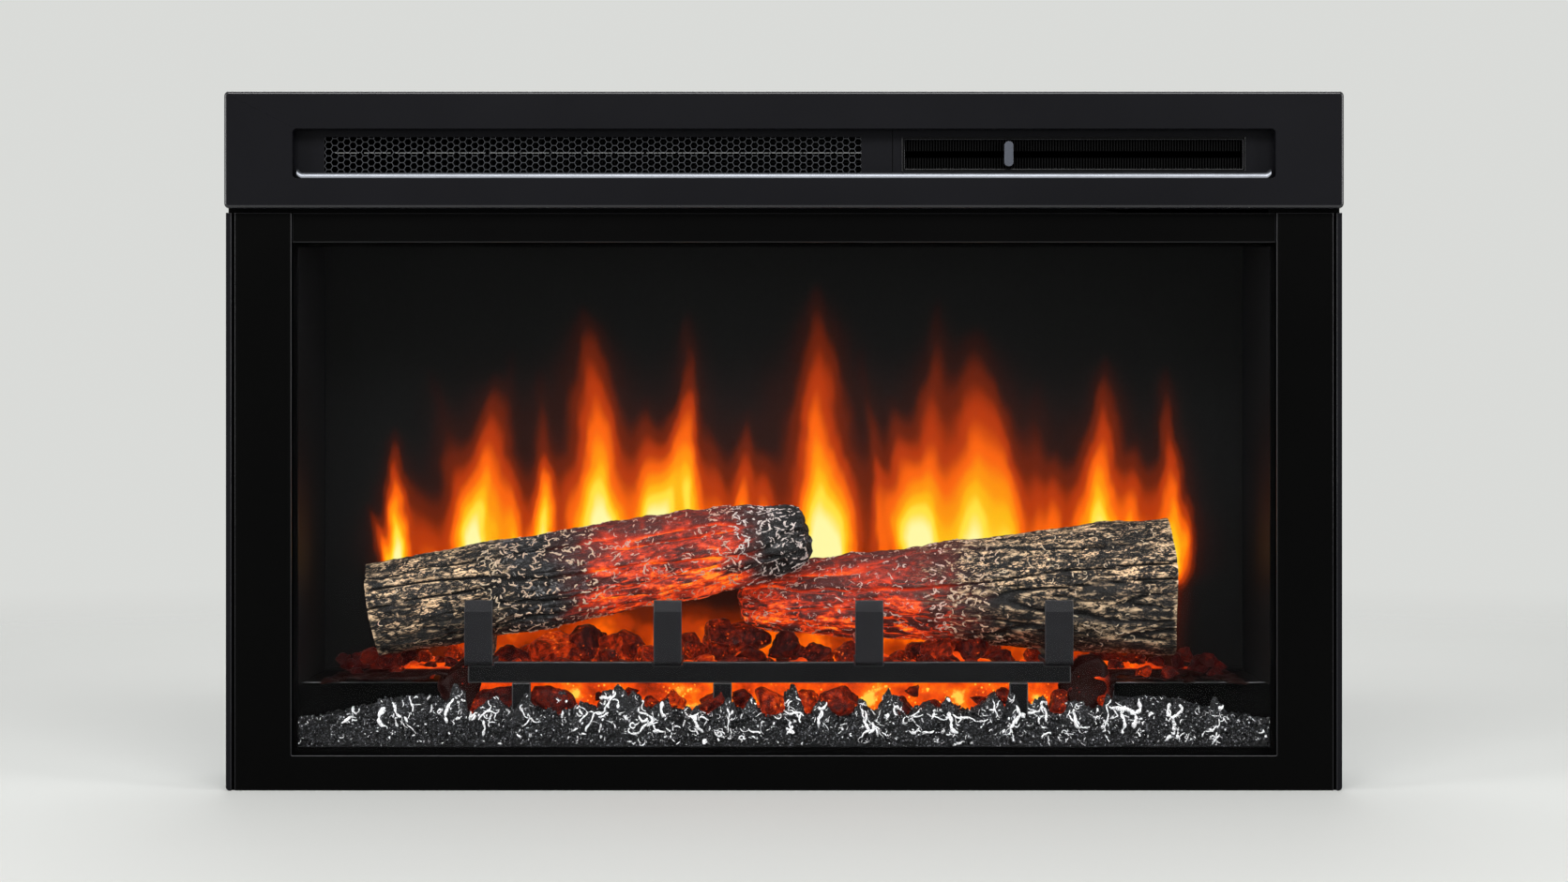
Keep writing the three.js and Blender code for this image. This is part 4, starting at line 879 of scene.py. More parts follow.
# Rows of the photograph on the rear screen: the haze's top, where the flames brighten towards their
# roots, their foot, and the top and the foot of the glow behind the bed
HAZE_ROW = 330
ROOT_ROWS = (470, 588)
FOOT_ROW = 600
BED_ROWS = (632, 690)
# Between these distances from the middle, in metres, the haze and the bed's glow fade out
SCREEN_FADE = (0.22, 0.325)


def flame_picture(name, screen_y, strength, waver):
    """The rear screen with its flames as light."""
    material, tree, shader = new_material(
        name, glows=True, Roughness=0.5, Specular_IOR_Level=0.04, Emission_Strength=strength,
    )

    def height(row):
        return photo_place(PHOTO_CENTRE[0], row, screen_y).z

    place = object_place(tree)
    axes = split(tree, place)
    drift = speckle(tree, object_place(tree, scale=(1, 1, 0.45)), 26.0, 2.0)
    lick = speckle(tree, object_place(tree, scale=(1, 1, 0.4), shift=(3, 0, 0)), 70.0, 2.0)
    sway = strayed(tree, strayed(tree, 0.0, drift, 2.2 * waver), lick, 1.2 * waver)
    x = sums(tree, "ADD", axes["X"], sway)
    light = 0.0
    for foot, tip, half, heat in FLAMES:
        base = photo_place(*foot, screen_y)
        peak = photo_place(*tip, screen_y)
        light = place_group(
            tree, "flame tongue", X=x, Z=axes["Z"], Foot_X=base.x, Foot_Z=base.z, Tip_X=peak.x,
            Tip_Z=peak.z, Width=half * MM, Heat=heat, Before=light,
        )["Light"]
    root_top, root_foot = map(height, ROOT_ROWS)
    bed_top, bed_foot = map(height, BED_ROWS)
    root = ranged(tree, axes["Z"], root_top, root_foot, 1.0, 1.42)
    under = ranged(tree, axes["Z"], height(FOOT_ROW), bed_top, 1.0, 0.15, True)
    flame = product(tree, light, root, under)
    edge = ranged(tree, sums(tree, "ABSOLUTE", axes["X"]), *SCREEN_FADE, 1.0, 0.0, True)
    haze = ranged(tree, axes["Z"], height(HAZE_ROW), height(FOOT_ROW), 0.0, 0.10, True)
    mist = product(tree, haze, edge, ranged(tree, drift, 0.3, 0.8, 0.5, 1.1))
    patchy = ranged(tree, speckle(tree, place, 32.0, 3.0), 0.34, 0.68, 0.45, 1.5)
    bed = product(tree, ranged(tree, axes["Z"], bed_top, bed_foot, 0.0, 0.37, True), edge, patchy)
    total = sums(tree, "ADD", sums(tree, "ADD", flame, mist), bed)
    # Painted shade: the screen's base colour darker and redder where the flames and the glow are
    base_in_painted_shade = mixed(tree, ranged(tree, total, 0.02, 0.22), (0.0034, 0.0034, 0.0036), (0.0024, 0.0007, 0.0))
    shown = ramp(tree, product(tree, total, 0.78), FLAME_COLOURS, "EASE")
    wire(tree, shader, Base_Color=base_in_painted_shade, Emission_Color=shown)
    return material


BARK_TONES = (
    (0.30, (0.003, 0.003, 0.003)), (0.49, (0.014, 0.013, 0.012)), (0.57, (0.062, 0.050, 0.039)),
    (0.64, (0.36, 0.24, 0.145)), (0.72, (0.88, 0.59, 0.35)),
)
CHAR_TONES = (
    (0.34, (0.002, 0.002, 0.002)), (0.58, (0.013, 0.013, 0.0145)), (0.78, (0.085, 0.085, 0.092)),
)
LOG_HEAT = (
    (0.0, (0.0, 0.0, 0.0)), (0.12, (0.028, 0.003, 0.002)), (0.32, (0.22, 0.012, 0.002)),
    (0.55, (0.70, 0.036, 0.002)), (0.80, (1.0, 0.125, 0.003)), (1.0, (1.0, 0.30, 0.010)),
)


def log_finish(name, middle, tilt, zones):
    """Bark, char and glow along a log, by its zones."""
    material, tree, shader = new_material(
        name, glows=True, Specular_IOR_Level=0.22, Emission_Strength=1.0,
    )
    centred = object_place(tree, shift=tuple(-part for part in middle))
    inputs = {"Vector": centred, "Axis": (0, 1, 0), "Angle": tilt}
    along = add_node(tree, "ShaderNodeVectorRotate", inputs, rotation_type="AXIS_ANGLE").outputs[0]
    axes = split(tree, along)
    stretched = mapped(tree, along, scale=(0.42, 1, 1))
    drawn = mapped(tree, along, scale=(0.22, 1, 1))

    def lace(vector, scale, width, cover):
        sizes = {"Scale": scale, "Width": width, "Cover": cover}
        return place_group(tree, "ash lace", Vector=vector, **sizes)["Mask"]

    # Where on the log a place lies, with ragged borders
    ragged = speckle(tree, along, 38.0, 3.0)
    place = strayed(tree, axes["X"], ragged, 0.06)
    level = strayed(tree, axes["Z"], ragged, 0.05)
    burnt = ranged(tree, place, zones["bark_end"], zones["char_start"], 0, 1, True)
    barky = sums(tree, "SUBTRACT", 1.0, burnt)

    # Bark and char, with tan rims, flakes of ash, dark cracks and painted shade down the furrows
    furrow = kept_number(tree, "furrow")
    tone = speckle(tree, stretched, 80.0, 2.0)
    plate = speckle(tree, stretched, 330.0, 4.0, 0.7)
    fleck = speckle(tree, stretched, 900.0, 2.0, 0.7)
    speckled = strayed(tree, strayed(tree, plate, fleck, 1.1), tone, 0.7)
    # Painted shade: the bark goes dark below a height on the log's underside
    above_underside_shade = ranged(tree, level, zones["underside_shade"] - 0.014, zones["underside_shade"] + 0.014, 0.16, 1.0, True)
    bark = mixed(tree, above_underside_shade, (0.006, 0.006, 0.006), ramp(tree, speckled, BARK_TONES))
    surface = mixed(tree, burnt, bark, ramp(tree, speckled, CHAR_TONES))
    rim = product(tree, kept_number(tree, "rim"), ranged(tree, plate, 0.46, 0.56), barky, 0.9)
    surface = mixed(tree, rim, surface, (0.70, 0.50, 0.31))
    flakes = product(tree, lace(stretched, 230.0, 0.040, 0.44), barky)
    surface = mixed(tree, flakes, surface, (0.78, 0.55, 0.33))
    cracks = ranged(tree, lace(stretched, 120.0, 0.060, 0.62), 0.1, 0.7)
    surface = mixed(tree, cracks, surface, (0.003, 0.0025, 0.0025))
    # Painted shade: darker down the furrows
    surface = mixed(tree, ranged(tree, furrow, 0.12, 0.5), surface, (0.0025, 0.002, 0.002))

    # The glow: patches, streaks along the log and the furrows, weaker towards the log's top
    glow_in = ranged(tree, place, zones["glow_start"], zones["glow_full"], 0, 1, True)
    glow_out = ranged(tree, place, zones["glow_fade"], zones["glow_end"], 1, 0, True)
    glow = product(tree, glow_in, glow_out)
    side = ranged(tree, axes["Z"], zones["top"], zones["low"], 0.12, 1.0)
    patches = ranged(tree, speckle(tree, stretched, 60.0, 4.0, 0.6), 0.46, 0.58, 0.03, 0.97)
    warm = product(tree, side, patches, ranged(tree, plate, 0.38, 0.58, 0.35, 1.0))
    streaks = speckle(tree, drawn, 75.0, 3.0, 0.55, 0.4)
    off_line = sums(tree, "ABSOLUTE", sums(tree, "SUBTRACT", streaks, 0.5))
    streak = product(tree, ranged(tree, off_line, 0.0, 0.032, 0.75, 0.0), side)
    warm = sums(tree, "MAXIMUM", sums(tree, "MULTIPLY_ADD", furrow, 0.5, warm), streak)
    fire = product(tree, glow, sums(tree, "MULTIPLY_ADD", warm, 0.95, 0.05))
    ember = mixed(tree, plate, (0.016, 0.003, 0.003), (0.10, 0.021, 0.017))
    surface = mixed(tree, product(tree, glow, 0.85), surface, ember)

    # Fine white ash on the char and on the glow
    white = product(tree, lace(along, 420.0, 0.050, 0.38), 0.6, burnt)
    height = sums(tree, "MULTIPLY_ADD", plate, 0.8, sums(tree, "MULTIPLY_ADD", fleck, 0.4, white))
    wire(
        tree, shader,
        Base_Color=mixed(tree, white, surface, (0.72, 0.68, 0.64)),
        Emission_Color=mixed(tree, white, ramp(tree, fire, LOG_HEAT), (0.0, 0.0, 0.0)),
        Roughness=ranged(tree, fleck, 0.3, 0.7, 0.95, 0.6),
        Normal=bump(tree, height, 0.8, 0.8),
    )
    return material


SKIN_HEAT = (
    (0.0, (0.001, 0.0, 0.0)), (0.18, (0.13, 0.007, 0.001)), (0.42, (0.58, 0.038, 0.001)),
    (0.64, (0.92, 0.080, 0.001)), (0.84, (1.0, 0.19, 0.002)), (1.0, (1.0, 0.62, 0.07)),
)
COAL_HEAT = (
    (0.0, (0.003, 0.0, 0.0)), (0.22, (0.020, 0.001, 0.001)), (0.45, (0.11, 0.006, 0.001)),
    (0.68, (0.48, 0.030, 0.002)), (1.0, (1.0, 0.24, 0.010)),
)
# The ledge's painted shadow darkens the bed's foot: how its border slopes, and its height over the ledge
SIGHT_SLOPE = 0.086
LEDGE_SHADE = (4.2 * MM, 5.4 * MM)
# Distances from the middle, in metres: where the bed's ends darken, and beyond which the ledge's painted
# shadow lies on its foot
BED_ENDS = (0.275, 0.325)
LEDGE_ENDS = (0.236, 0.250)


def ember_finish(name, ledge, lift, mottle, heat_colours):
    """Translucent embers lit from below, by the ledge's height, a mean heat, a mottle and colours."""
    material, tree, shader = new_material(
        name, glows=True, Specular_IOR_Level=0.03, Emission_Strength=1.0, Roughness=0.36,
    )
    place = object_place(tree)
    axes = split(tree, place)
    broad = speckle(tree, place, 26.0, 3.0)
    fine = speckle(tree, place, 210.0, 4.0, 0.7)
    spots = ranged(tree, cells(tree, place, 290.0), 0.12, 0.32, 1.0, 0.0)
    lit = ranged(tree, speckle(tree, place, 95.0, 2.0), 0.48, 0.60)
    aside = sums(tree, "ABSOLUTE", axes["X"])
    # Painted shadow of the ledge: away from the middle, the glow goes dark below a sloping line over the
    # ledge
    slope = sums(tree, "MULTIPLY_ADD", axes["Y"], SIGHT_SLOPE, axes["Z"])
    above_ledge_shadow = ranged(tree, slope, *(ledge + part for part in LEDGE_SHADE))
    clear_of_ledge_shadow = sums(tree, "MAXIMUM", above_ledge_shadow, ranged(tree, aside, *LEDGE_ENDS, 1.0, 0.0))
    ends = product(tree, ranged(tree, aside, *BED_ENDS, 1.0, 0.5, True), clear_of_ledge_shadow)
    heat = strayed(tree, lift, broad, 0.936)
    heat = sums(tree, "MULTIPLY_ADD", kept_number(tree, "hollow"), 0.30, heat)
    heat = strayed(tree, heat, fine, mottle)
    heat = sums(tree, "MULTIPLY_ADD", product(tree, spots, lit), 0.55, heat)
    heat = sums(tree, "MULTIPLY", heat, ends, clamp=True)
    wire(
        tree, shader,
        Base_Color=mixed(tree, fine, (0.002, 0.0006, 0.0005), (0.010, 0.002, 0.0016)),
        Emission_Color=ramp(tree, heat, heat_colours),
        Normal=bump(tree, fine, 0.6, 0.8),
    )
    return material


def ash_finish(name, pale, glow_reddened, tan):
    """Crusted ash: pale, reddish beside the glow as painted glow light, or tan on bark, by its tint."""
    material, tree, shader = new_material(name, Specular_IOR_Level=0.3, Roughness=0.8)
    crumb = speckle(tree, object_place(tree), 900.0, 3.0)
    # Reddish in the ramp's middle: the glow's light painted on the ash
    colour = ramp(tree, kept_number(tree, "tint"), ((0.0, pale), (0.5, glow_reddened), (1.0, tan)))
    dirt = ranged(tree, crumb, 0.36, 0.52, 0.25, 1.0)
    wire(
        tree, shader, Base_Color=mixed(tree, dirt, (0.20, 0.18, 0.17), colour),
        Normal=bump(tree, crumb, 0.5, 0.4),
    )
    return material


def cinder_finish(name):
    """Glossy charcoal and slag, some grains of it white."""
    material, tree, shader = new_material(name, Specular_IOR_Level=0.13)
    tone = speckle(tree, object_place(tree), 760.0, 4.0, 0.8)
    body = ramp(tree, tone, (
        (0.34, (0.0005, 0.0005, 0.0006)), (0.50, (0.0018, 0.0019, 0.0023)),
        (0.57, (0.009, 0.0095, 0.012)), (0.62, (0.13, 0.135, 0.15)), (0.68, (0.66, 0.67, 0.71)),
    ))
    fleck = ranged(tree, kept_number(tree, "ridge"), 0.40, 0.64)
    wire(
        tree, shader,
        Base_Color=mixed(tree, fleck, body, (0.80, 0.81, 0.84)),
        Roughness=ranged(tree, tone, 0.4, 0.6, 0.5, 0.22),
        Normal=bump(tree, tone, 0.9, 0.8),
    )
    return material


FINISHES = {}


# Operators
class FIREPLACE_OT_finishes(bpy.types.Operator):
    """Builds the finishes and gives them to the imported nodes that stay"""

    bl_idname = "fireplace.finishes"
    bl_label = "Finishes"

    def execute(self, context):
        coats = context.scene.fireplace_coats
        grain_group()
        lace_group()
        tongue_group()
        spangle_group()
        recipes = {
            "frame_coat": (coat, coats.frame, 0.40, 0.03),
            "powder_coat": (coat, coats.head, 0.38, 0.07),
            # A lighter coat on rounded edges and folds: a painted highlight
            "coat_edge": (coat, (0.012, 0.012, 0.014), 0.18, 0.45, 900.0, 0.04),
            # Matt black for the cabinet's inward faces: painted shade
            "inner_black": (coat, (0.0015, 0.0015, 0.0016), 0.8, 0.02),
            "firebox_paint": (coat, coats.firebox, 0.5, 0.07),
            # A darker copy of the firebox paint for the ring, the tray, the retainer and the ledge:
            # painted shade
            "ledge_paint": (coat, toned(coats.firebox, 0.3), 0.5, 0.01),
            # The ledge's light front edge: a painted highlight
            "ledge_edge": (coat, (0.085, 0.086, 0.092), 0.35, 0.4),
            "grate_black": (coat, coats.grate, 0.55, 0.10, 700.0, 0.25),
            # The bar's darker copy of the grate paint: painted shade
            "grate_bar": (coat, toned(coats.grate, 0.3), 0.55, 0.05, 700.0, 0.25),
            # Lighter edges of the grate's bars: a painted highlight
            "grate_edge": (coat, (0.014, 0.014, 0.016), 0.40, 0.3),
            "grille_steel": (coat, (0.050, 0.052, 0.058), 0.35, 0.35),
            # The rear layer of the mesh near black: painted shade
            "grille_dark": (coat, (0.0015, 0.0015, 0.0016), 0.6, 0.03),
            # Near black and shineless heater parts: painted shade behind the outlet
            "element_steel": (coat, (0.0003, 0.0003, 0.0003), 0.9, 0.0),
            "black_plastic": (plastic, (0.0010, 0.0010, 0.0011), 0.5, 0.05),
            "gland_plastic": (plastic, (0.012, 0.012, 0.013), 0.45),
            "knob_plastic": (plastic, (0.048, 0.054, 0.069), 0.35),
            # The slider's lighter rim: a painted highlight
            "knob_edge": (plastic, (0.16, 0.17, 0.20), 0.3),
            "bright_aluminium": (metal, coats.lip, 0.42),
            "reflector_foil": (metal, (0.86, 0.87, 0.88), 0.18),
            "motor_steel": (metal, (0.50, 0.50, 0.51), 0.32),
            "bush_brass": (metal, (0.62, 0.45, 0.20), 0.3),
            "zinc_steel": (zinc, coats.zinc),
            "clear_glass": (glass,),
            "gasket_fibre": (fibre,),
            "board_green": (board, (0.006, 0.075, 0.028)),
            "log_ash": (ash_finish, (0.66, 0.63, 0.62), (0.58, 0.34, 0.26), (0.56, 0.43, 0.29)),
            "cinder_ash": (ash_finish, (0.92, 0.93, 0.95), (0.80, 0.60, 0.50), (0.70, 0.71, 0.74)),
        }
        for name, (make, *values) in recipes.items():
            FINISHES[name] = make(name, *values)
        slots = {row["node"]: row["material_slot"] for row in frame["record"]["subparts"]}
        for node, slot in slots.items():
            if slot in FINISHES:
                repaint(node, FINISHES[slot])
        # The heater and its housing take the painted shade
        for node in ("heating_element", "heater_housing"):
            repaint(node, FINISHES["element_steel"])
        return {"FINISHED"}


# How near its border the head panel's fold lies, and the slot's top as a share of the panel's height
OUTER_BAND = 5 * MM
SLOT_TOP_SHARE = 0.68
# The slot's lip: its straight foot, how far it bows back, and how long and how high its ends curl
LIP_FOOT = 0.6 * MM
LIP_BOW = 3.2 * MM
LIP_STEPS = 8
LIP_CURL = 4 * MM
LIP_RISE = 2.6 * MM


class FIREPLACE_OT_front(bpy.types.Operator):
    """Rounds the edges of the head panel, the frame, the trims and the panels in the slot"""

    bl_idname = "fireplace.front"
    bl_label = "Front"

    def execute(self, context):
        edges = context.scene.fireplace_edges
        self.head_panel(edges)
        for node in ("vent_panel", "control_panel"):
            dressed(node, "powder_coat", edges.sheet)
        # The trims' and the frame's rounded edges take the painted highlight
        for node in ("side_trim_left", "side_trim_right"):
            dressed(node, "powder_coat", edges.sheet, edge="coat_edge")
        for node in ("front_frame", "glass_header"):
            dressed(node, "frame_coat", edges.sheet, edge="coat_edge")
        self.slot_lip()
        return {"FINISHED"}

    def head_panel(self, edges):
        """The pan, its outer fold rounder than its cut edges."""
        piece = merged_copy("head_panel", "head_panel_dressed")
        # The outer fold and the rounded edges take the painted highlight
        give_finish_and_edge_highlight(piece, "powder_coat", "coat_edge")
        low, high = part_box("head_panel")

        def outer(a, b):
            on_front = max(a.y, b.y) < low.y + MERGE_DISTANCE
            middle = (a + b) / 2
            to_side = min(middle.x - low.x, high.x - middle.x)
            to_end = min(middle.z - low.z, high.z - middle.z)
            return on_front and min(to_side, to_end) < OUTER_BAND and not (a - b).length < MERGE_DISTANCE

        slot_low, slot_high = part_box("slot_lip")
        slot_top = low.z + (high.z - low.z) * SLOT_TOP_SHARE
        cut_across(piece, "X", (slot_low.x, slot_high.x))
        cut_across(piece, "Z", (slot_low.z, slot_top))
        make_active(piece)
        select_edges(piece, outer)
        bpy.ops.mesh.bevel(
            offset=edges.panel, segments=5, affect="EDGES", clamp_overlap=False, material=1,
        )
        leave_edit()
        round_edges(piece, edges.sheet, 2, 40)
        fit(piece, None, ("head_panel",))

    def slot_lip(self):
        """The bright lip: a bowed face that rises from the slot's foot, its two ends curled up."""
        low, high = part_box("slot_lip")
        rise = high.z - low.z
        corners = [(high.y, low.z), (low.y, low.z)]
        for step in range(LIP_STEPS + 1):
            angle = math.radians(90) * step / LIP_STEPS
            up = low.z + LIP_FOOT + (rise - LIP_FOOT) * math.sin(angle)
            corners.append((low.y + LIP_BOW * (1 - math.cos(angle)), up))
        corners.append((high.y, high.z))
        piece = prism("slot_lip_bowed", corners, low.x, high.x)
        cuts = [high.x - LIP_CURL * step / 5 for step in range(1, 6)]
        cut_across(piece, "X", cuts + [-place for place in cuts])
        for point in piece.data.vertices:
            share = max(0.0, 1 - (high.x - abs(point.co.x)) / LIP_CURL)
            point.co.z += LIP_RISE * share ** 2
        smooth(piece, 40)
        fit(piece, FINISHES["bright_aluminium"], ("slot_lip",))


# The outlet's mesh: its sheet, the bare border round it, and how much wider the rear layer's cells are
MESH_THICK = 0.45 * MM
MESH_MARGIN = 0.3 * MM
BACK_STRETCH = 1.012


class FIREPLACE_OT_outlet(bpy.types.Operator):
    """Makes the hexagon mesh of the heater outlet in two layers"""

    bl_idname = "fireplace.outlet"
    bl_label = "Outlet mesh"

    def execute(self, context):
        sizes = context.scene.fireplace_outlet
        low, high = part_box("outlet_grille")
        front = self.layer("outlet_mesh_front", sizes, low.y, sizes.column)
        back = self.layer("outlet_mesh_back", sizes, high.y - MESH_THICK, sizes.column * BACK_STRETCH)
        fit(front, FINISHES["grille_steel"], ("outlet_grille",))
        # The rear layer is near black: painted shade behind the front layer
        fit(back, FINISHES["grille_dark"])
        return {"FINISHED"}

    def layer(self, name, sizes, y, column):
        """One sheet of hexagons: a pair of cells, copied along and up, trimmed and thickened."""
        low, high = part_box("outlet_grille")
        clear_selection()
        radius = sizes.cell / math.sqrt(3)
        bpy.ops.mesh.primitive_circle_add(
            vertices=6, radius=radius, fill_type="NGON", location=(0, 0, 0),
            rotation=(math.radians(90), 0, 0),
        )
        piece = bpy.context.object
        piece.name = name
        bpy.ops.object.transform_apply(rotation=True)
        for number, point in enumerate(piece.data.vertices):
            angle = math.radians(60) * number
            point.co = (math.cos(angle) * column / 1.5, 0, radius * math.sin(angle))
        edit_all()
        bpy.ops.mesh.inset(thickness=sizes.strand / 2, depth=0)
        bpy.ops.mesh.delete(type="FACE")
        bpy.ops.mesh.select_all(action="SELECT")
        bpy.ops.mesh.duplicate_move(TRANSFORM_OT_translate={"value": (column, 0, sizes.cell / 2)})
        leave_edit()
        repeat(piece, math.ceil((high.x - low.x) / (2 * column)) + 2, (2 * column, 0, 0))
        repeat(piece, math.ceil((high.z - low.z) / sizes.cell) + 2, (0, 0, sizes.cell))
        for point in piece.data.vertices:
            point.co += Vector((low.x - column, y, low.z - sizes.cell))
        edit_all()
        bpy.ops.mesh.remove_doubles(threshold=0.05 * MM)
        left, right = low.x + MESH_MARGIN, high.x - MESH_MARGIN
        bottom, top = low.z + MESH_MARGIN, high.z - MESH_MARGIN
        cuts = (
            ((left, 0, 0), (-1, 0, 0)), ((right, 0, 0), (1, 0, 0)),
            ((0, 0, bottom), (0, 0, -1)), ((0, 0, top), (0, 0, 1)),
        )
        for place, out in cuts:
            bpy.ops.mesh.select_all(action="SELECT")
            bpy.ops.mesh.bisect(plane_co=place, plane_no=out, clear_outer=True)
        bpy.ops.mesh.select_all(action="SELECT")
        bpy.ops.mesh.normals_make_consistent(inside=False)
        leave_edit()
        apply_modifier(piece, "SOLIDIFY", thickness=MESH_THICK, offset=1.0)
        offset = y - min(point.co.y for point in piece.data.vertices)
        for point in piece.data.vertices:
            point.co.y += offset
        return piece


# The bare border round the ribs, and half the height that they leave free for the slider's stem
TRACK_BORDER = 2.4 * MM
STEM_ROOM = 2.6 * MM


class FIREPLACE_OT_controls(bpy.types.Operator):
    """Makes the ribbed control window and its slider"""

    bl_idname = "fireplace.controls"
    bl_label = "Controls"

    def execute(self, context):
        edges = context.scene.fireplace_edges
        sizes = context.scene.fireplace_outlet
        # The bezel's rounded edges take the painted highlight
        dressed("control_bezel", "black_plastic", 0.35 * MM, edge="coat_edge")
        self.ribs(sizes)
        # The slider's rounded rim takes a painted highlight
        dressed("control_slider", "knob_plastic", edges.moulding, 3, edge="knob_edge", body="slider")
        return {"FINISHED"}

    def ribs(self, sizes):
        """Half-round ribs across the window, over and under the stem's slot."""
        low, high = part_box("ribbed_track")
        slider_low, slider_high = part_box("control_slider")
        left, right = low.x + TRACK_BORDER, high.x - TRACK_BORDER
        bottom, top = low.z + TRACK_BORDER, high.z - TRACK_BORDER
        middle = (slider_low.z + slider_high.z) / 2
        pieces = []
        for foot, head in ((bottom, middle - STEM_ROOM), (middle + STEM_ROOM, top)):
            clear_selection()
            bpy.ops.mesh.primitive_cylinder_add(
                vertices=10, radius=sizes.rib * 0.55 / 2, depth=head - foot,
                location=(left + sizes.rib / 2, low.y + 0.25 * MM, (foot + head) / 2),
            )
            rib = place_in_mesh(bpy.context.object)
            repeat(rib, int((right - left) / sizes.rib), (sizes.rib, 0, 0))
            pieces.append(rib)
        make_active(pieces[0])
        pieces[1].select_set(True)
        bpy.ops.object.join()
        piece = bpy.context.object
        piece.name = "control_ribs"
        smooth(piece, 50)
        fit(piece, FINISHES["black_plastic"])


class FIREPLACE_OT_firebox(bpy.types.Operator):
    """Dresses the firebox liners, the ledge, the tray and the flame screen"""

    bl_idname = "fireplace.firebox"
    bl_label = "Firebox"

    def execute(self, context):
        edges = context.scene.fireplace_edges
        flames = context.scene.fireplace_flames
        # The liners' rounded edges take the painted highlight
        for node in ("firebox_ceiling", "firebox_side_left", "firebox_side_right"):
            dressed(node, "firebox_paint", edges.sheet, edge="coat_edge")
        # The ring, the tray and the retainer take the darker copy of the firebox paint: painted shade
        for node in ("firebox_ring", "cinder_tray", "screen_retainer"):
            dressed(node, "ledge_paint", edges.sheet)
        # The ledge's front edge takes a painted highlight
        dressed("ledge_panel", "ledge_paint", 0.7 * MM, edge="ledge_edge")
        screen_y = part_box("flame_screen")[0].y
        picture = flame_picture("flame_picture", screen_y, flames.glow, flames.softness)
        FINISHES["screen_plastic"] = picture
        dressed("flame_screen", "screen_plastic", 0.6 * MM)
        return {"FINISHED"}


# The bent top band of an upright: its height, and how far its top leans back
BENT_BAND = 8.5 * MM
BENT_BACK = 2.5 * MM


class FIREPLACE_OT_grate(bpy.types.Operator):
    """Rounds the flat bars of the grate"""

    bl_idname = "fireplace.grate"
    bl_label = "Grate"

    def execute(self, context):
        edges = context.scene.fireplace_edges
        for node in sorted(name for name in frame["nodes"] if name.startswith("grate_")):
            piece = merged_copy(node, node + "_dressed")
            if "upright" in node:
                give_finish_and_edge_highlight(piece, "grate_black", "grate_edge")
                self.set_back(piece, node)
            else:
                # The bar takes the darker copy of the grate paint: painted shade
                give_finish_and_edge_highlight(piece, "grate_bar", "grate_edge")
            # The rounded edges take the painted highlight
            round_edges(piece, edges.bar, 3)
            fit(piece, None, (node,))
        return {"FINISHED"}

    def set_back(self, piece, node):
        """Leans the strap's top band back, where it is bent over."""
        low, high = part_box(node)
        cut_across(piece, "Z", (high.z - BENT_BAND,))
        for point in piece.data.vertices:
            if point.co.z > high.z - MM and point.co.y < low.y + MM:
                point.co.y += BENT_BACK


# The logs, each with its burnt end: 1 for the right one, -1 for the left one. The zones of its finish are
# metres from its middle, along it for bark, char and glow, and upwards for the top and the low of the glow
# and for the painted shade on the underside. A stretch of ash has its two ends as shares of the length,
# how many crusts lie on it, their radius in millimetres, and their tint from 0, pale, to 1, tan.
LOGS = {
    "log_left": {
        "seed": 3, "burnt_end": 1,
        "zones": {
            "bark_end": -0.085, "char_start": -0.055, "glow_start": -0.035, "glow_full": 0.02,
            "glow_fade": 0.10, "glow_end": 0.145, "top": 0.036, "low": -0.012, "underside_shade": -0.016,
        },
        "stretches": (
            (0.02, 0.30, 90, 0.42, 1.0), (0.26, 0.52, 430, 0.62, 0.85),
            (0.50, 0.84, 330, 0.50, 0.5), (0.80, 0.99, 330, 0.58, 0.15),
        ),
    },
    "log_right": {
        "seed": 11, "burnt_end": -1,
        "zones": {
            "bark_end": -0.010, "char_start": -0.045, "glow_start": -0.20, "glow_full": -0.16,
            "glow_fade": -0.045, "glow_end": 0.03, "top": 0.036, "low": -0.02, "underside_shade": 0.004,
        },
        "stretches": (
            (0.01, 0.48, 430, 0.50, 0.4), (0.44, 0.60, 210, 0.72, 0.85), (0.56, 0.98, 200, 0.45, 1.0),
        ),
    },
}
# The crusts lie this far round a log's front, in radians, and a ray finds their place from this far out
CRUST_TURN = 2.0
OUTSIDE = 80 * MM
# Where a unit log's ends begin, half its length being 0.5, and its radius where no ray meets the wall
LOG_END = 0.495
SPARE_RADIUS = 30 * MM
# The burnt end: from which unit height its edge is worn away, and from which the char swells
WORN_FROM = 0.44
SWOLLEN_FROM = -0.10


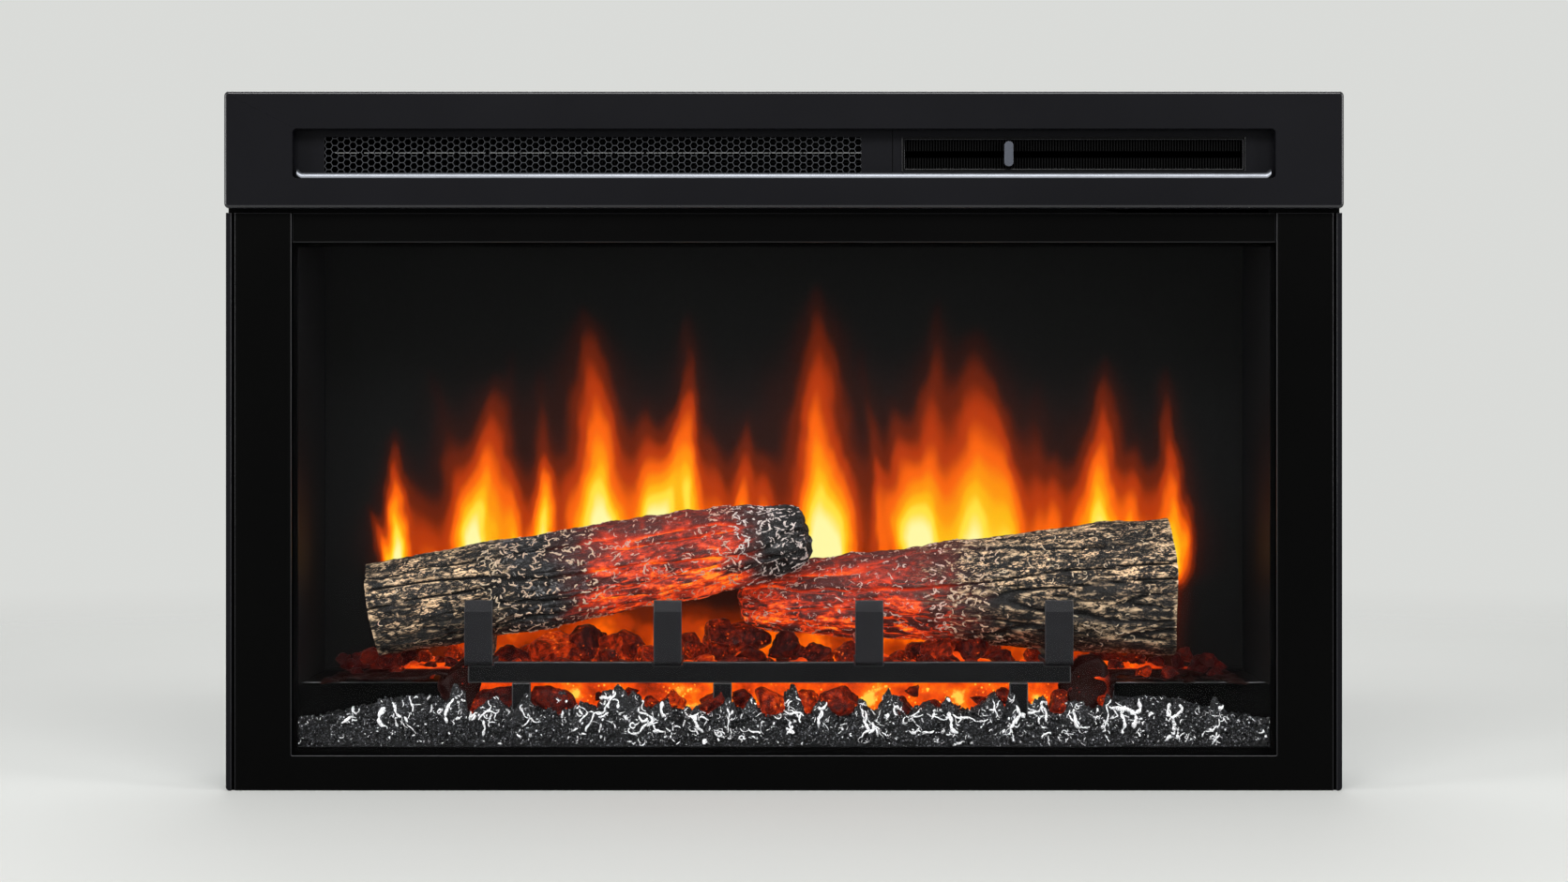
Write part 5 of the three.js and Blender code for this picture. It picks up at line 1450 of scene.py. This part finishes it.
class FIREPLACE_OT_logs(bpy.types.Operator):
    """Carves the two logs: bark furrows, charred blocks and cut ends"""

    bl_idname = "fireplace.logs"
    bl_label = "Logs"

    def execute(self, context):
        for node, traits in LOGS.items():
            self.carve(node, context.scene.fireplace_logs, **traits)
        return {"FINISHED"}

    def carve(self, node, sizes, seed, burnt_end, zones, stretches):
        """One log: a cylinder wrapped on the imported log, then furrowed and covered with ash."""
        solid = merged_copy(node, node + "_gauge")
        start, end = self.axis(solid)
        tree = surface_of(solid)
        bpy.data.objects.remove(solid)
        clear_selection()
        bpy.ops.mesh.primitive_cylinder_add(
            vertices=sizes.sides, radius=1, depth=1, end_fill_type="NGON", location=(0, 0, 0),
        )
        piece = bpy.context.object
        piece.name = node + "_carved"
        select_edges(piece, lambda a, b: abs(a.z - b.z) > 0.5)
        bpy.ops.mesh.subdivide(number_cuts=sizes.rings // 2)
        leave_edit()
        select_faces(piece, lambda face: abs(face.normal.z) > 0.9)
        for _ in range(6):
            bpy.ops.mesh.inset(thickness=0.14, use_individual=True)
        leave_edit()
        self.wrap(piece, tree, start, end, sizes, seed, burnt_end)
        tilt = math.atan2(end.z - start.z, end.x - start.x)
        finish = log_finish(node + "_finish", (start + end) / 2, tilt, zones)
        smooth(piece, 60)
        fit(piece, finish, (node,))
        self.ash(piece, node, start, end, seed, stretches)

    def ash(self, piece, node, start, end, seed, stretches):
        """Curled crusts of ash on a log's stretches."""
        chooser = random.Random(seed)
        surface = surface_of(piece)
        along = (end - start).normalized()
        lines = []
        for first, last, count, radius, _ in stretches:
            for _ in range(count):
                turn = Matrix.Rotation(chooser.uniform(-CRUST_TURN, CRUST_TURN), 3, along)
                out = turn @ Vector((0, -1, 0))
                middle = start.lerp(end, chooser.uniform(first, last))
                place = surface.ray_cast(middle + out * OUTSIDE, -out)[0]
                if not place:
                    continue
                heading = Matrix.Rotation(chooser.uniform(0, math.tau), 3, out) @ along
                line = ash_walk(chooser, surface, place, heading, chooser.randint(1, 6), 1.3 * MM)
                lines.append((line, radius * chooser.uniform(0.6, 1.25)))
        crust = ash_crust(node + "_ash", lines, chooser, FINISHES["log_ash"])
        tints = []
        for point in crust.data.vertices:
            share = (point.co - start).dot(along) / (end - start).length
            reached = [tint for first, last, _, _, tint in stretches if first <= share <= last]
            tints.append(reached[0] if reached else 0.5)
        write_attribute(crust, "tint", tints)

    def axis(self, solid):
        """The middles of a log's two ends."""
        points = [point.co for point in solid.data.vertices]
        low = min(point.x for point in points)
        high = max(point.x for point in points)
        band = 14 * MM
        ends = []
        for place in (low, high):
            near = [point for point in points if abs(point.x - place) < band]
            ends.append(sum(near, Vector()) / len(near))
        return ends

    def wrap(self, piece, tree, start, end, sizes, seed, burnt_end):
        """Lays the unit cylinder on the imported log, cuts the bark and wears the burnt end round."""
        along = (end - start).normalized()
        length = (end - start).length
        side = along.cross(Vector((0, 0, 1))).normalized()
        up = side.cross(along).normalized()
        furrows, rims = [], []
        for point in piece.data.vertices:
            height = point.co.z
            angle = math.atan2(point.co.y, point.co.x)
            reach = min(1.0, math.hypot(point.co.x, point.co.y))
            at_end = abs(height) > LOG_END
            share = min(0.985, max(0.015, height + 0.5))
            across, over = math.cos(angle), math.sin(angle)
            out = side * across + up * over
            origin = start.lerp(end, share)
            wall = tree.ray_cast(origin, out)[0]
            radius = (wall - origin).length if wall else SPARE_RADIUS
            deep, furrow, rim = self.bark(share * length, angle, radius, sizes, seed)
            furrows.append(0.0 if at_end and reach > 0.999 else furrow * reach)
            rims.append(1.0 if at_end and reach > 0.80 else rim)

            # Char swells towards the burnt end, whose edge is worn away in knobs
            round_place = Vector((across * 2.2, over * 2.2, seed + share * length * 50))
            knobs = noise.noise(round_place)
            burnt = min(1.0, max(0.0, height * burnt_end - SWOLLEN_FROM) / 0.25)
            worn = max(0.0, (height * burnt_end - WORN_FROM) / 0.06)
            deep += (burnt * 2.4 * knobs + worn * worn * (4.2 + 5.5 * knobs)) * MM

            # Growth rings and a slant on a cut end, lumps and a dome on the burnt one
            cap = 0.0
            if at_end:
                ring = 0.35 * math.sin(reach * 40) if reach < 0.98 else 0.0
                cap = ring + 3 * noise.noise(Vector((across * 1.3, over * 1.3, seed)))
            if worn > 0.9:
                cap += 2.8 * noise.noise(round_place * reach * 1.4) - 3.2 * reach ** 3
            outward = along * (cap * MM if height > 0 else -cap * MM)
            point.co = start.lerp(end, height + 0.5) + out * (radius - deep) * reach + outward
        write_attribute(piece, "furrow", furrows)
        write_attribute(piece, "rim", rims)

    def bark(self, along, angle, radius, sizes, seed):
        """How deep the bark is cut at a place, and how far it is down a furrow and on a plate's edge."""
        y, z = math.cos(angle) * radius, math.sin(angle) * radius
        bend = noise.noise(Vector((along * 30, y * 40, z * 40 + seed))) * 2.5 * MM
        long_cut = abs(noise.noise(Vector((along * 5 + seed, (y + bend) * 62, (z + bend) * 62))))
        trench = max(0.0, 1 - long_cut / 0.095)
        side_cut = abs(noise.noise(Vector((along * 17 - seed, (y + bend) * 120, (z - bend) * 120))))
        split = max(0.0, 1 - side_cut / 0.06) * 0.55
        block = abs(noise.noise(Vector((along * 62, y * 50 + seed, z * 50))))
        check = max(0.0, 1 - block / 0.05) * 0.6
        edge = max(0.0, 1 - abs(long_cut - 0.13) / 0.06)
        lesser = max(0.0, 1 - abs(side_cut - 0.10) / 0.04) * 0.7
        fine = noise.fractal(Vector((along * 210, y * 330, z * 330 + seed)), 1.0, 2.0, 3)
        swell = noise.noise(Vector((along * 26, y * 34, z * 34 - seed))) * 1.4 * MM
        deep = sizes.furrow * max(trench, split) + sizes.check * check - sizes.grain * fine - swell
        return deep, min(1.0, max(trench, split, check)), max(edge, lesser)


# The bed: how deep its hollows are, and what sets where its coals lie
HOLLOW_DEPTH = 3.0 * MM
COAL_FORMS = 6
COAL_TRIES = 6000
FRONT_LIMIT = -45 * MM
ABOVE = 100 * MM
# How warm a coal is, drawn by chance, and how cold a dark dome
COAL_WARMTHS = (0.0, 0.1, 0.3, 0.8)
DOME_WARMTH = -1.3
DOME_SIZE = (22 * MM, 16 * MM, 24 * MM, 1)


class FIREPLACE_OT_embers(bpy.types.Operator):
    """Makes the glowing bed: a lit skin and the coals that lie on it"""

    bl_idname = "fireplace.embers"
    bl_label = "Embers"

    def execute(self, context):
        skin = merged_copy("ember_bed", "ember_skin")
        apply_modifier(skin, "REMESH", mode="VOXEL", voxel_size=3.2 * MM)
        low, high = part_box("ember_bed")
        hollows = []
        for point in skin.data.vertices:
            distances = noise.voronoi(point.co * 46)[0]
            lump = min(1.0, (distances[1] - distances[0]) * 2.2)
            sink = (1 - lump) * HOLLOW_DEPTH
            if point.co.z > low.z + 3 * MM:
                centre = Vector((point.co.x, (low.y + high.y) / 2, low.z))
                point.co -= (point.co - centre).normalized() * sink
            warmth = 0.0
            for column, row, reach in HOT_SPOTS:
                spot = photo_place(column, row, point.co.y)
                away = math.hypot(point.co.x - spot.x, point.co.z - spot.z) / (reach * MM)
                warmth += 1.6 * math.exp(-away * away)
            hollows.append(1 - lump + warmth)
        write_attribute(skin, "hollow", hollows)
        smooth(skin, 70)
        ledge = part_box("ledge_panel")[1].z
        finish = ember_finish("ember_skin_finish", ledge, 0.44, 0.576, SKIN_HEAT)
        fit(skin, finish, ("ember_bed",))
        self.coals(skin, context.scene.fireplace_bed)
        return {"FINISHED"}

    def coals(self, skin, sizes):
        """Lumps on the skin's top and front, larger ones under the logs, and the dark domes."""
        chooser = random.Random(41)
        stones = [rough_stone("coal_form", 4, seed, 9, 0.09) for seed in range(COAL_FORMS)]
        forms = [take_shape(stone) for stone in stones]
        places = self.scattered(skin, sizes, chooser)
        for column, row, depth, size in HEAPED_COALS:
            seat = photo_place(column, row, depth * MM)
            places.append((chooser.randrange(COAL_FORMS), self.lying(seat, size * MM, chooser)))
        forms.append(take_shape(rough_stone("dome_form", 4, 77, 3, 0.04)))
        for column, row, depth in DARK_DOMES:
            seat = photo_place(column, row, depth * MM)
            places.append((COAL_FORMS, Matrix.Translation(seat) @ Matrix.Diagonal(DOME_SIZE)))
        piece = mesh_of_copies("ember_coals", forms, places)
        warmths = []
        for form, _ in places:
            warmth = DOME_WARMTH if form == COAL_FORMS else chooser.choice(COAL_WARMTHS)
            warmths.extend([warmth] * len(forms[form][0]))
        write_attribute(piece, "hollow", warmths)
        smooth(piece, 40)
        finish = ember_finish("ember_coal_finish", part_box("ember_bed")[0].z, 0.26, 1.224, COAL_HEAT)
        fit(piece, finish)

    def scattered(self, skin, sizes, chooser):
        """Places by chance for the coals on the skin, none of them too near another or past its box."""
        tree = surface_of(skin)
        low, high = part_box("ember_bed")
        places, taken = [], []
        tries = 0
        while len(places) < sizes.coals and tries < COAL_TRIES:
            tries += 1
            x = chooser.uniform(low.x + 14 * MM, high.x - 14 * MM)
            in_front = chooser.random() < 0.5
            if in_front:
                z = chooser.uniform(low.z + 6 * MM, high.z - 6 * MM)
                place, normal = tree.ray_cast(Vector((x, low.y - ABOVE, z)), Vector((0, 1, 0)))[:2]
            else:
                y = chooser.uniform(low.y + 12 * MM, high.y - 14 * MM)
                place, normal = tree.ray_cast(Vector((x, y, high.z + ABOVE)), Vector((0, 0, -1)))[:2]
            if not place or (in_front and place.y > FRONT_LIMIT):
                continue
            size = sizes.coal * chooser.uniform(0.65, 1.3) * (0.6 if abs(x) > 0.25 else 1.0)
            if any((place - other).length < (size + room) * 0.85 for other, room in taken):
                continue
            seat = place + normal * size * 0.1
            if seat.z + size * 0.9 > high.z + 2 * MM or seat.y - size * 0.8 < low.y - 4 * MM:
                continue
            taken.append((place, size))
            places.append((chooser.randrange(COAL_FORMS), self.lying(seat, size, chooser)))
        return places

    def lying(self, seat, size, chooser):
        """A coal's place: broad along X and turned a little."""
        scale = Matrix.Diagonal((size * 1.2, size * 0.9, size * 0.85, 1))
        turn = Matrix.Rotation(chooser.uniform(-0.5, 0.5), 4, "Y")
        return Matrix.Translation(seat) @ turn @ Matrix.Rotation(chooser.uniform(0, 6), 4, "Z") @ scale


# Coals heaped under the logs: photograph pixels of their middles, depth and radius in millimetres
HEAPED_COALS = (
    (548, 702, -34, 12), (590, 692, -30, 17), (626, 688, -24, 17), (668, 684, -18, 15),
    (650, 704, -40, 12), (692, 702, -30, 12), (736, 694, -30, 15), (770, 680, -22, 18),
    (752, 706, -42, 11), (800, 700, -34, 14), (838, 692, -26, 15), (872, 700, -36, 14),
    (905, 698, -28, 12), (960, 706, -34, 11), (1000, 696, -30, 15), (1034, 694, -28, 18),
    (1068, 704, -34, 11), (1150, 708, -30, 9), (385, 706, 4, 9), (404, 702, 2, 10),
    (372, 710, 0, 7), (430, 708, -4, 9), (1275, 708, 2, 8), (1255, 704, 0, 9),
    (1300, 711, 4, 6), (588, 750, -72, 17), (528, 750, -70, 16), (655, 752, -70, 13),
    (678, 740, -64, 11), (700, 754, -70, 11), (638, 738, -62, 10), (560, 736, -62, 10),
    (720, 748, -68, 12), (762, 748, -70, 14), (790, 756, -70, 11), (820, 748, -72, 16),
    (845, 738, -62, 11), (862, 748, -70, 13), (895, 746, -72, 18), (958, 752, -72, 13),
    (982, 740, -64, 12), (955, 735, -60, 9), (995, 758, -72, 9), (1050, 750, -70, 13),
    (1075, 742, -66, 12), (1088, 756, -70, 11), (1130, 750, -70, 14), (618, 704, -28, 15),
    (652, 690, -20, 17), (762, 700, -26, 17), (790, 684, -20, 18), (852, 704, -24, 15),
    (985, 700, -22, 15), (1050, 686, -20, 17), (566, 704, -22, 13), (452, 704, -10, 9),
    (1110, 700, -20, 12), (1190, 706, -14, 9), (395, 700, -6, 8), (416, 704, -12, 8),
    (436, 699, 0, 8), (470, 706, -16, 8), (484, 699, -12, 9), (366, 704, -2, 6),
    (1212, 702, -8, 9), (1232, 707, -12, 7), (1288, 704, -4, 7), (1172, 701, -10, 9),
    (1265, 699, 4, 8),
)
# The two smooth dark lumps beyond the ends of the grate's bar, their middles given in the same way
DARK_DOMES = ((500, 736, -66), (1157, 735, -66))
# Where the bed glows brightest: photograph pixels and reach in millimetres
HOT_SPOTS = ((1020, 746, 7), (928, 748, 6), (614, 742, 5), (1107, 748, 5), (740, 738, 5), (690, 748, 4))


# The heap: how far its body sinks under the cinders, how many forms these have, the sizes of the small
# ones as shares of their mean size, and how many of them have a white corner
BODY_SINK = 3 * MM
CINDER_FORMS = 6
SHARD_FORMS = 5
GRAIN_SIZES = (0.55, 0.7, 0.85, 1.0, 1.3, 1.7)
WHITE_SHARE = 0.30
# The strokes of ash: how many lie over the heap beside those on the shards, the length of one step, how
# far a stroke may jump in depth, and a place before the heap from which it is cast
MIDDLE_STROKES = 40
SMALL_STROKES = 1500
STROKE_STEP = 1.7 * MM
LUMP_STEP = 12 * MM
BEFORE_HEAP = -150 * MM
# Peaks of the larger shards, as photograph pixels
SHARD_TOPS = (
    (487, 738), (523, 742), (556, 744), (598, 742), (628, 748), (655, 737), (680, 745),
    (705, 745), (740, 752), (775, 746), (800, 748), (845, 739), (880, 748), (918, 750),
    (950, 743), (985, 748), (1012, 752), (1055, 738), (1080, 742), (1110, 748), (1145, 746),
    (1180, 745), (1205, 750), (1255, 749), (440, 740), (413, 744), (1296, 752),
)


class FIREPLACE_OT_cinders(bpy.types.Operator):
    """Fills the trough with cinders, and sets pointed shards on them"""

    bl_idname = "fireplace.cinders"
    bl_label = "Cinders"

    def execute(self, context):
        body = merged_copy("cinder_bed", "cinder_body")
        finish = cinder_finish("cinder_finish")
        low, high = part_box("cinder_bed")
        tree = surface_of(body)
        for point in body.data.vertices:
            if point.co.z > low.z + 2 * MM:
                point.co.z -= BODY_SINK
            if point.co.y < low.y + 2 * MM:
                point.co.y += BODY_SINK
        fit(body, finish, ("cinder_bed",))
        gravel = self.gravel(tree, context.scene.fireplace_bed, finish, low, high)
        shards = self.shards(finish, low, high)
        self.crusts(surface_of(gravel, shards), low, high)
        return {"FINISHED"}

    def gravel(self, tree, sizes, finish, low, high):
        """Small cinders over the front and the top of the heap, some with a white corner."""
        chooser = random.Random(7)
        stones = [rough_stone("cinder_form", 1, seed + 20, 4, 0.3) for seed in range(CINDER_FORMS)]
        forms = [take_shape(stone) for stone in stones]
        places = []
        for _ in range(sizes.grains):
            x = chooser.uniform(low.x + 3 * MM, high.x - 3 * MM)
            size = sizes.grain * chooser.choice(GRAIN_SIZES)
            y = low.y + size + chooser.random() ** 2 * (high.y - low.y - 2 * size)
            place = tree.ray_cast(Vector((x, y, high.z + ABOVE)), Vector((0, 0, -1)))[0]
            if not place:
                continue
            top = place.z - size
            front = chooser.random() < 0.7 and y < low.y + 5 * MM
            z = chooser.uniform(low.z + size, top) if front and top > low.z + size else top
            form = chooser.randrange(CINDER_FORMS)
            scale = Matrix.Diagonal((size, size * 0.8, size * 0.9, 1))
            places.append((form, Matrix.Translation((x, y, z)) @ random_turn(chooser) @ scale))
        piece = mesh_of_copies("cinder_gravel", forms, places)
        pale = []
        for form, _ in places:
            marks = [0.0] * len(forms[form][0])
            if chooser.random() < WHITE_SHARE:
                marks[chooser.randrange(len(marks))] = 1.0
            pale.extend(marks)
        write_attribute(piece, "ridge", pale)
        return fit(piece, finish)

    def shards(self, finish, low, high):
        """Pointed lumps that stand out of the gravel."""
        chooser = random.Random(19)
        stones = [rough_stone("shard_form", 5, seed + 40, 7, 0.16) for seed in range(SHARD_FORMS)]
        forms = [take_shape(stone) for stone in stones]
        places = []
        for column, row in SHARD_TOPS:
            y = low.y + chooser.uniform(7, 11) * MM
            tall = chooser.uniform(16, 22) * MM
            scale = Matrix.Diagonal((chooser.uniform(12, 18) * MM, 9 * MM, tall, 1))
            turn = Matrix.Rotation(chooser.uniform(0, math.tau), 4, "Z")
            middle = photo_place(column, row, y) - Vector((0, 0, tall * 0.8))
            places.append((chooser.randrange(SHARD_FORMS), Matrix.Translation(middle) @ scale @ turn))
        for points, _ in forms:
            for point in points:
                narrow = 1 - 0.42 * max(0.0, point.z)
                point.x, point.y = point.x * narrow, point.y * narrow
        piece = mesh_of_copies("cinder_shards", forms, places)
        for point in piece.data.vertices:
            point.co.y = min(max(point.co.y, low.y), high.y)
            point.co.z = max(point.co.z, low.z)
        apply_modifier(piece, "DECIMATE", ratio=0.33)
        write_attribute(piece, "ridge", [0.0] * len(piece.data.vertices))
        smooth(piece, 50)
        return fit(piece, finish)

    def crusts(self, surface, low, high):
        """Thick crooked strokes of white ash down the shards, and smaller ones over the heap."""
        chooser = random.Random(23)
        lines = []
        for column, row in SHARD_TOPS:
            peak = photo_place(column, row, low.y)
            for lean in chooser.sample((-0.7, 0.1, 0.7), chooser.choice((1, 2, 2))):
                start = (peak.x + lean * 4 * MM, peak.z - chooser.uniform(0.5, 9) * MM)
                steps = chooser.randint(8, 20)
                line = self.down(chooser, surface, start, lean, steps, chooser.gauss(0, 0.05))
                lines.append((line, chooser.choice((0.6, 0.8, 1.0, 1.3))))
        for _ in range(MIDDLE_STROKES):
            start = (chooser.uniform(low.x, high.x), chooser.uniform(low.z + 8 * MM, high.z - 12 * MM))
            line = self.down(chooser, surface, start, chooser.gauss(0, 0.7), chooser.randint(4, 11), 0)
            lines.append((line, chooser.choice((0.5, 0.7, 1.0))))
        for _ in range(SMALL_STROKES):
            climb = chooser.random() ** 1.4 * (high.z - low.z - 2 * MM)
            start = (chooser.uniform(low.x, high.x), low.z + 2 * MM + climb)
            lean = chooser.uniform(-math.pi, math.pi)
            steps = chooser.choice((2, 2, 2, 2, 3, 4, 7))
            line = self.down(chooser, surface, start, lean, steps, chooser.gauss(0, 0.4))
            lines.append((line, chooser.choice((0.22, 0.28, 0.35, 0.45, 0.6, 1.0))))
        lines = [(line, radius) for line, radius in lines if len(line) > 1]
        crust = ash_crust("cinder_ash", lines, chooser, FINISHES["cinder_ash"])
        write_attribute(crust, "tint", [0.0] * len(crust.data.vertices))

    def down(self, chooser, surface, start, lean, steps, bend):
        """A crooked line over the heap's front, from a place (x, z), while it keeps to one lump."""
        x, z = start
        line = []
        for _ in range(steps):
            place = surface.ray_cast(Vector((x, BEFORE_HEAP, z)), Vector((0, 1, 0)))[0]
            if not place or (line and abs(place.y - line[-1].y) > LUMP_STEP):
                break
            line.append(place)
            lean += bend + chooser.gauss(0, 0.36)
            x += math.sin(lean) * STROKE_STEP
            z -= math.cos(lean) * STROKE_STEP
        return line


# The screws: how far in from an edge, how many across and up the rear panel, how high on the sides
SCREW_INSET = 9 * MM
SCREWS_ACROSS = 7
SCREWS_UP = 3
SIDE_SCREW_HEIGHTS = (20 * MM, 250 * MM, 480 * MM)
HEAD_HEIGHT = 1.6 * MM


class FIREPLACE_OT_cabinet(bpy.types.Operator):
    """Rounds the cabinet's folds and adds its screws"""

    bl_idname = "fireplace.cabinet"
    bl_label = "Cabinet"

    def execute(self, context):
        edges = context.scene.fireplace_edges
        for node in ("cabinet_wrap", "base_pan", "rear_panel"):
            self.shade_inside(dressed(node, "zinc_steel", edges.sheet))
        dressed("front_carrier", "frame_coat", edges.sheet)
        dressed("cable_gland", "gland_plastic", 0.4 * MM)
        self.screws()
        return {"FINISHED"}

    def shade_inside(self, piece):
        """Painted shade: matt black on the faces that look inwards, so that nothing shines through the
        outlet.
        """
        low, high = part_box("cabinet_wrap")
        middle = (low + high) / 2
        reach = (high - low) / 2 - Vector((MM, MM, MM))
        piece.data.materials.append(FINISHES["inner_black"])
        for face in piece.data.polygons:
            if max(abs(part) / half for part, half in zip(face.center - middle, reach)) < 1:
                face.material_index = 1

    def screws(self):
        """Cross-head screws round the rear panel and along the cabinet's sides."""
        low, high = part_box("rear_panel")
        wrap_low, wrap_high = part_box("cabinet_wrap")
        left, right = low.x + SCREW_INSET, high.x - SCREW_INSET
        back = Matrix.Rotation(math.radians(-90), 4, "X")
        spots = []
        for number in range(SCREWS_ACROSS):
            x = left + (right - left) * number / (SCREWS_ACROSS - 1)
            spots += [(x, high.y, low.z + SCREW_INSET), (x, high.y, high.z - SCREW_INSET)]
        for number in range(1, SCREWS_UP + 1):
            z = low.z + (high.z - low.z) * number / (SCREWS_UP + 1)
            spots += [(left, high.y, z), (right, high.y, z)]
        places = [(0, Matrix.Translation(spot) @ back) for spot in spots]
        for side in (-1, 1):
            turn = Matrix.Rotation(math.radians(90 * side), 4, "Y")
            for y in (wrap_low.y + 3 * SCREW_INSET, wrap_high.y - SCREW_INSET):
                for z in SIDE_SCREW_HEIGHTS:
                    places.append((0, Matrix.Translation((side * wrap_high.x, y, z)) @ turn))
        piece = mesh_of_copies("cabinet_screws", [self.screw()], places)
        smooth(piece, 40)
        fit(piece, FINISHES["motor_steel"])

    def screw(self):
        """A pan head with a cross cut into it."""
        clear_selection()
        bpy.ops.mesh.primitive_cylinder_add(
            vertices=24, radius=3.4 * MM, depth=HEAD_HEIGHT, location=(0, 0, HEAD_HEIGHT / 2),
        )
        head = place_in_mesh(bpy.context.object)
        apply_modifier(
            head, "BEVEL", width=0.6 * MM, segments=3, limit_method="ANGLE", angle_limit=math.radians(40),
        )
        for turn in (0, 90):
            clear_selection()
            bpy.ops.mesh.primitive_cube_add(
                size=1, location=(0, 0, HEAD_HEIGHT), rotation=(0, 0, math.radians(turn)),
                scale=(3.6 * MM, 0.8 * MM, 1.6 * MM),
            )
            blade = place_in_mesh(bpy.context.object)
            apply_modifier(head, "BOOLEAN", operation="DIFFERENCE", object=blade, solver="EXACT")
            bpy.data.objects.remove(blade)
        return take_shape(head)


# Softboxes: place and size in metres, the property that sets their power, and their share of it
SOFTBOXES = (
    ("top_softbox", (0, -2.4, 2.5), (2.6, 1.2), "key", 1.0),
    ("left_softbox", (-2.4, -1.5, 1.0), (0.8, 1.8), "side", 1.0),
    ("right_softbox", (2.4, -1.5, 1.0), (0.8, 1.8), "side", 1.0),
    ("back_softbox", (0, 2.4, 2.2), (2.4, 1.2), "side", 1.2),
)
# How far from the middle the floor begins to fade out and ends, in metres
FLOOR_FADE = (0.7, 3.0)


class FIREPLACE_OT_stage(bpy.types.Operator):
    """Sets the floor, the lamps, the world and the camera"""

    bl_idname = "fireplace.stage"
    bl_label = "Stage"

    def execute(self, context):
        stage = context.scene.fireplace_stage
        self.floor(stage)
        self.world(context, stage)
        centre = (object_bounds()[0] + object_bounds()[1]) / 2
        for name, place, size, power, share in SOFTBOXES:
            light = bpy.data.lights.new(name, "AREA")
            light.shape = "RECTANGLE"
            light.size, light.size_y = size
            light.energy = getattr(stage, power) * share
            lamp = new_object(name, light)
            lamp.location = place
            lamp.rotation_euler = (centre - Vector(place)).to_track_quat("-Z", "Y").to_euler()
        camera = new_object("photo_camera", bpy.data.cameras.new("photo_camera"))
        camera.data.lens = stage.lens
        camera.data.sensor_width = SENSOR_WIDTH
        camera.location = (0, FRONT_Y - CAMERA_DISTANCE, CAMERA_HEIGHT)
        camera.rotation_euler = (math.radians(90), 0, 0)
        context.scene.camera = camera
        context.scene.view_settings.view_transform = "Standard"
        return {"FINISHED"}

    def floor(self, stage):
        """A round floor that fades into the background."""
        clear_selection()
        bpy.ops.mesh.primitive_circle_add(vertices=96, radius=6, fill_type="NGON", location=(0, 0, 0))
        floor = bpy.context.object
        floor.name = "studio_floor"
        material, tree, shader = new_material("studio_floor", Roughness=0.9, Specular_IOR_Level=0.1)
        place = object_place(tree)
        far = add_node(tree, "ShaderNodeVectorMath", {0: place}, operation="LENGTH").outputs["Value"]
        tone = speckle(tree, place, 3.0, 2.0)
        light, dark = toned(stage.floor, 0.80), toned(stage.floor, 0.78)
        wire(tree, shader, Base_Color=mixed(tree, tone, light, dark))
        let_through(tree, shader, ranged(tree, far, *FLOOR_FADE, 0, 1, True))
        floor.data.materials.append(material)
        floor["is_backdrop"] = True

    def world(self, context, stage):
        """A dim room that looks pale to the camera, to gloss and through glass."""
        world = bpy.data.worlds.new("studio")
        context.scene.world = world
        world.use_nodes = True
        tree = world.node_tree
        tree.nodes.clear()
        path = add_node(tree, "ShaderNodeLightPath").outputs
        seen = sums(tree, "MAXIMUM", path["Is Camera Ray"], path["Is Transmission Ray"])
        seen = sums(tree, "MAXIMUM", seen, path["Is Glossy Ray"])
        dim = {"Color": (1, 1, 1, 1), "Strength": stage.ambient}
        pale = {"Color": colour4(stage.floor), "Strength": 1.0}
        dim, pale = (add_node(tree, "ShaderNodeBackground", light).outputs[0] for light in (dim, pale))
        shown = add_node(tree, "ShaderNodeMixShader", {0: seen, 1: dim, 2: pale}).outputs[0]
        wire(tree, add_node(tree, "ShaderNodeOutputWorld"), Surface=shown)


class FIREPLACE_PT_parts(bpy.types.Panel):
    """The pieces and the stage, in the order in which they are made"""

    bl_idname = "FIREPLACE_PT_parts"
    bl_label = "Electric fireplace"
    bl_space_type = "VIEW_3D"
    bl_region_type = "UI"
    bl_category = "Fireplace"

    def draw(self, context):
        for operator in OPERATORS:
            self.layout.operator(operator.bl_idname)
        for name in PROPERTIES:
            group = getattr(context.scene, name)
            box = self.layout.box()
            for key in group.__annotations__:
                box.prop(group, key)


PROPERTIES = {
    "fireplace_coats": CoatProperties,
    "fireplace_edges": EdgeProperties,
    "fireplace_outlet": OutletProperties,
    "fireplace_logs": LogProperties,
    "fireplace_bed": BedProperties,
    "fireplace_flames": FlameProperties,
    "fireplace_stage": StageProperties,
}
OPERATORS = (
    FIREPLACE_OT_finishes,
    FIREPLACE_OT_front,
    FIREPLACE_OT_outlet,
    FIREPLACE_OT_controls,
    FIREPLACE_OT_firebox,
    FIREPLACE_OT_grate,
    FIREPLACE_OT_logs,
    FIREPLACE_OT_embers,
    FIREPLACE_OT_cinders,
    FIREPLACE_OT_cabinet,
    FIREPLACE_OT_stage,
)


def register():
    for group in PROPERTIES.values():
        bpy.utils.register_class(group)
    for name, group in PROPERTIES.items():
        setattr(bpy.types.Scene, name, PointerProperty(type=group))
    for operator in OPERATORS:
        bpy.utils.register_class(operator)
    bpy.utils.register_class(FIREPLACE_PT_parts)


def unregister():
    bpy.utils.unregister_class(FIREPLACE_PT_parts)
    for operator in reversed(OPERATORS):
        bpy.utils.unregister_class(operator)
    for name, group in PROPERTIES.items():
        delattr(bpy.types.Scene, name)
        bpy.utils.unregister_class(group)


def main():
    """Makes every piece and the stage."""
    register()
    bpy.ops.fireplace.finishes()
    bpy.ops.fireplace.front()
    bpy.ops.fireplace.outlet()
    bpy.ops.fireplace.controls()
    bpy.ops.fireplace.firebox()
    bpy.ops.fireplace.grate()
    bpy.ops.fireplace.logs()
    bpy.ops.fireplace.embers()
    bpy.ops.fireplace.cinders()
    bpy.ops.fireplace.cabinet()
    bpy.ops.fireplace.stage()


if __name__ == "__main__":
    main()
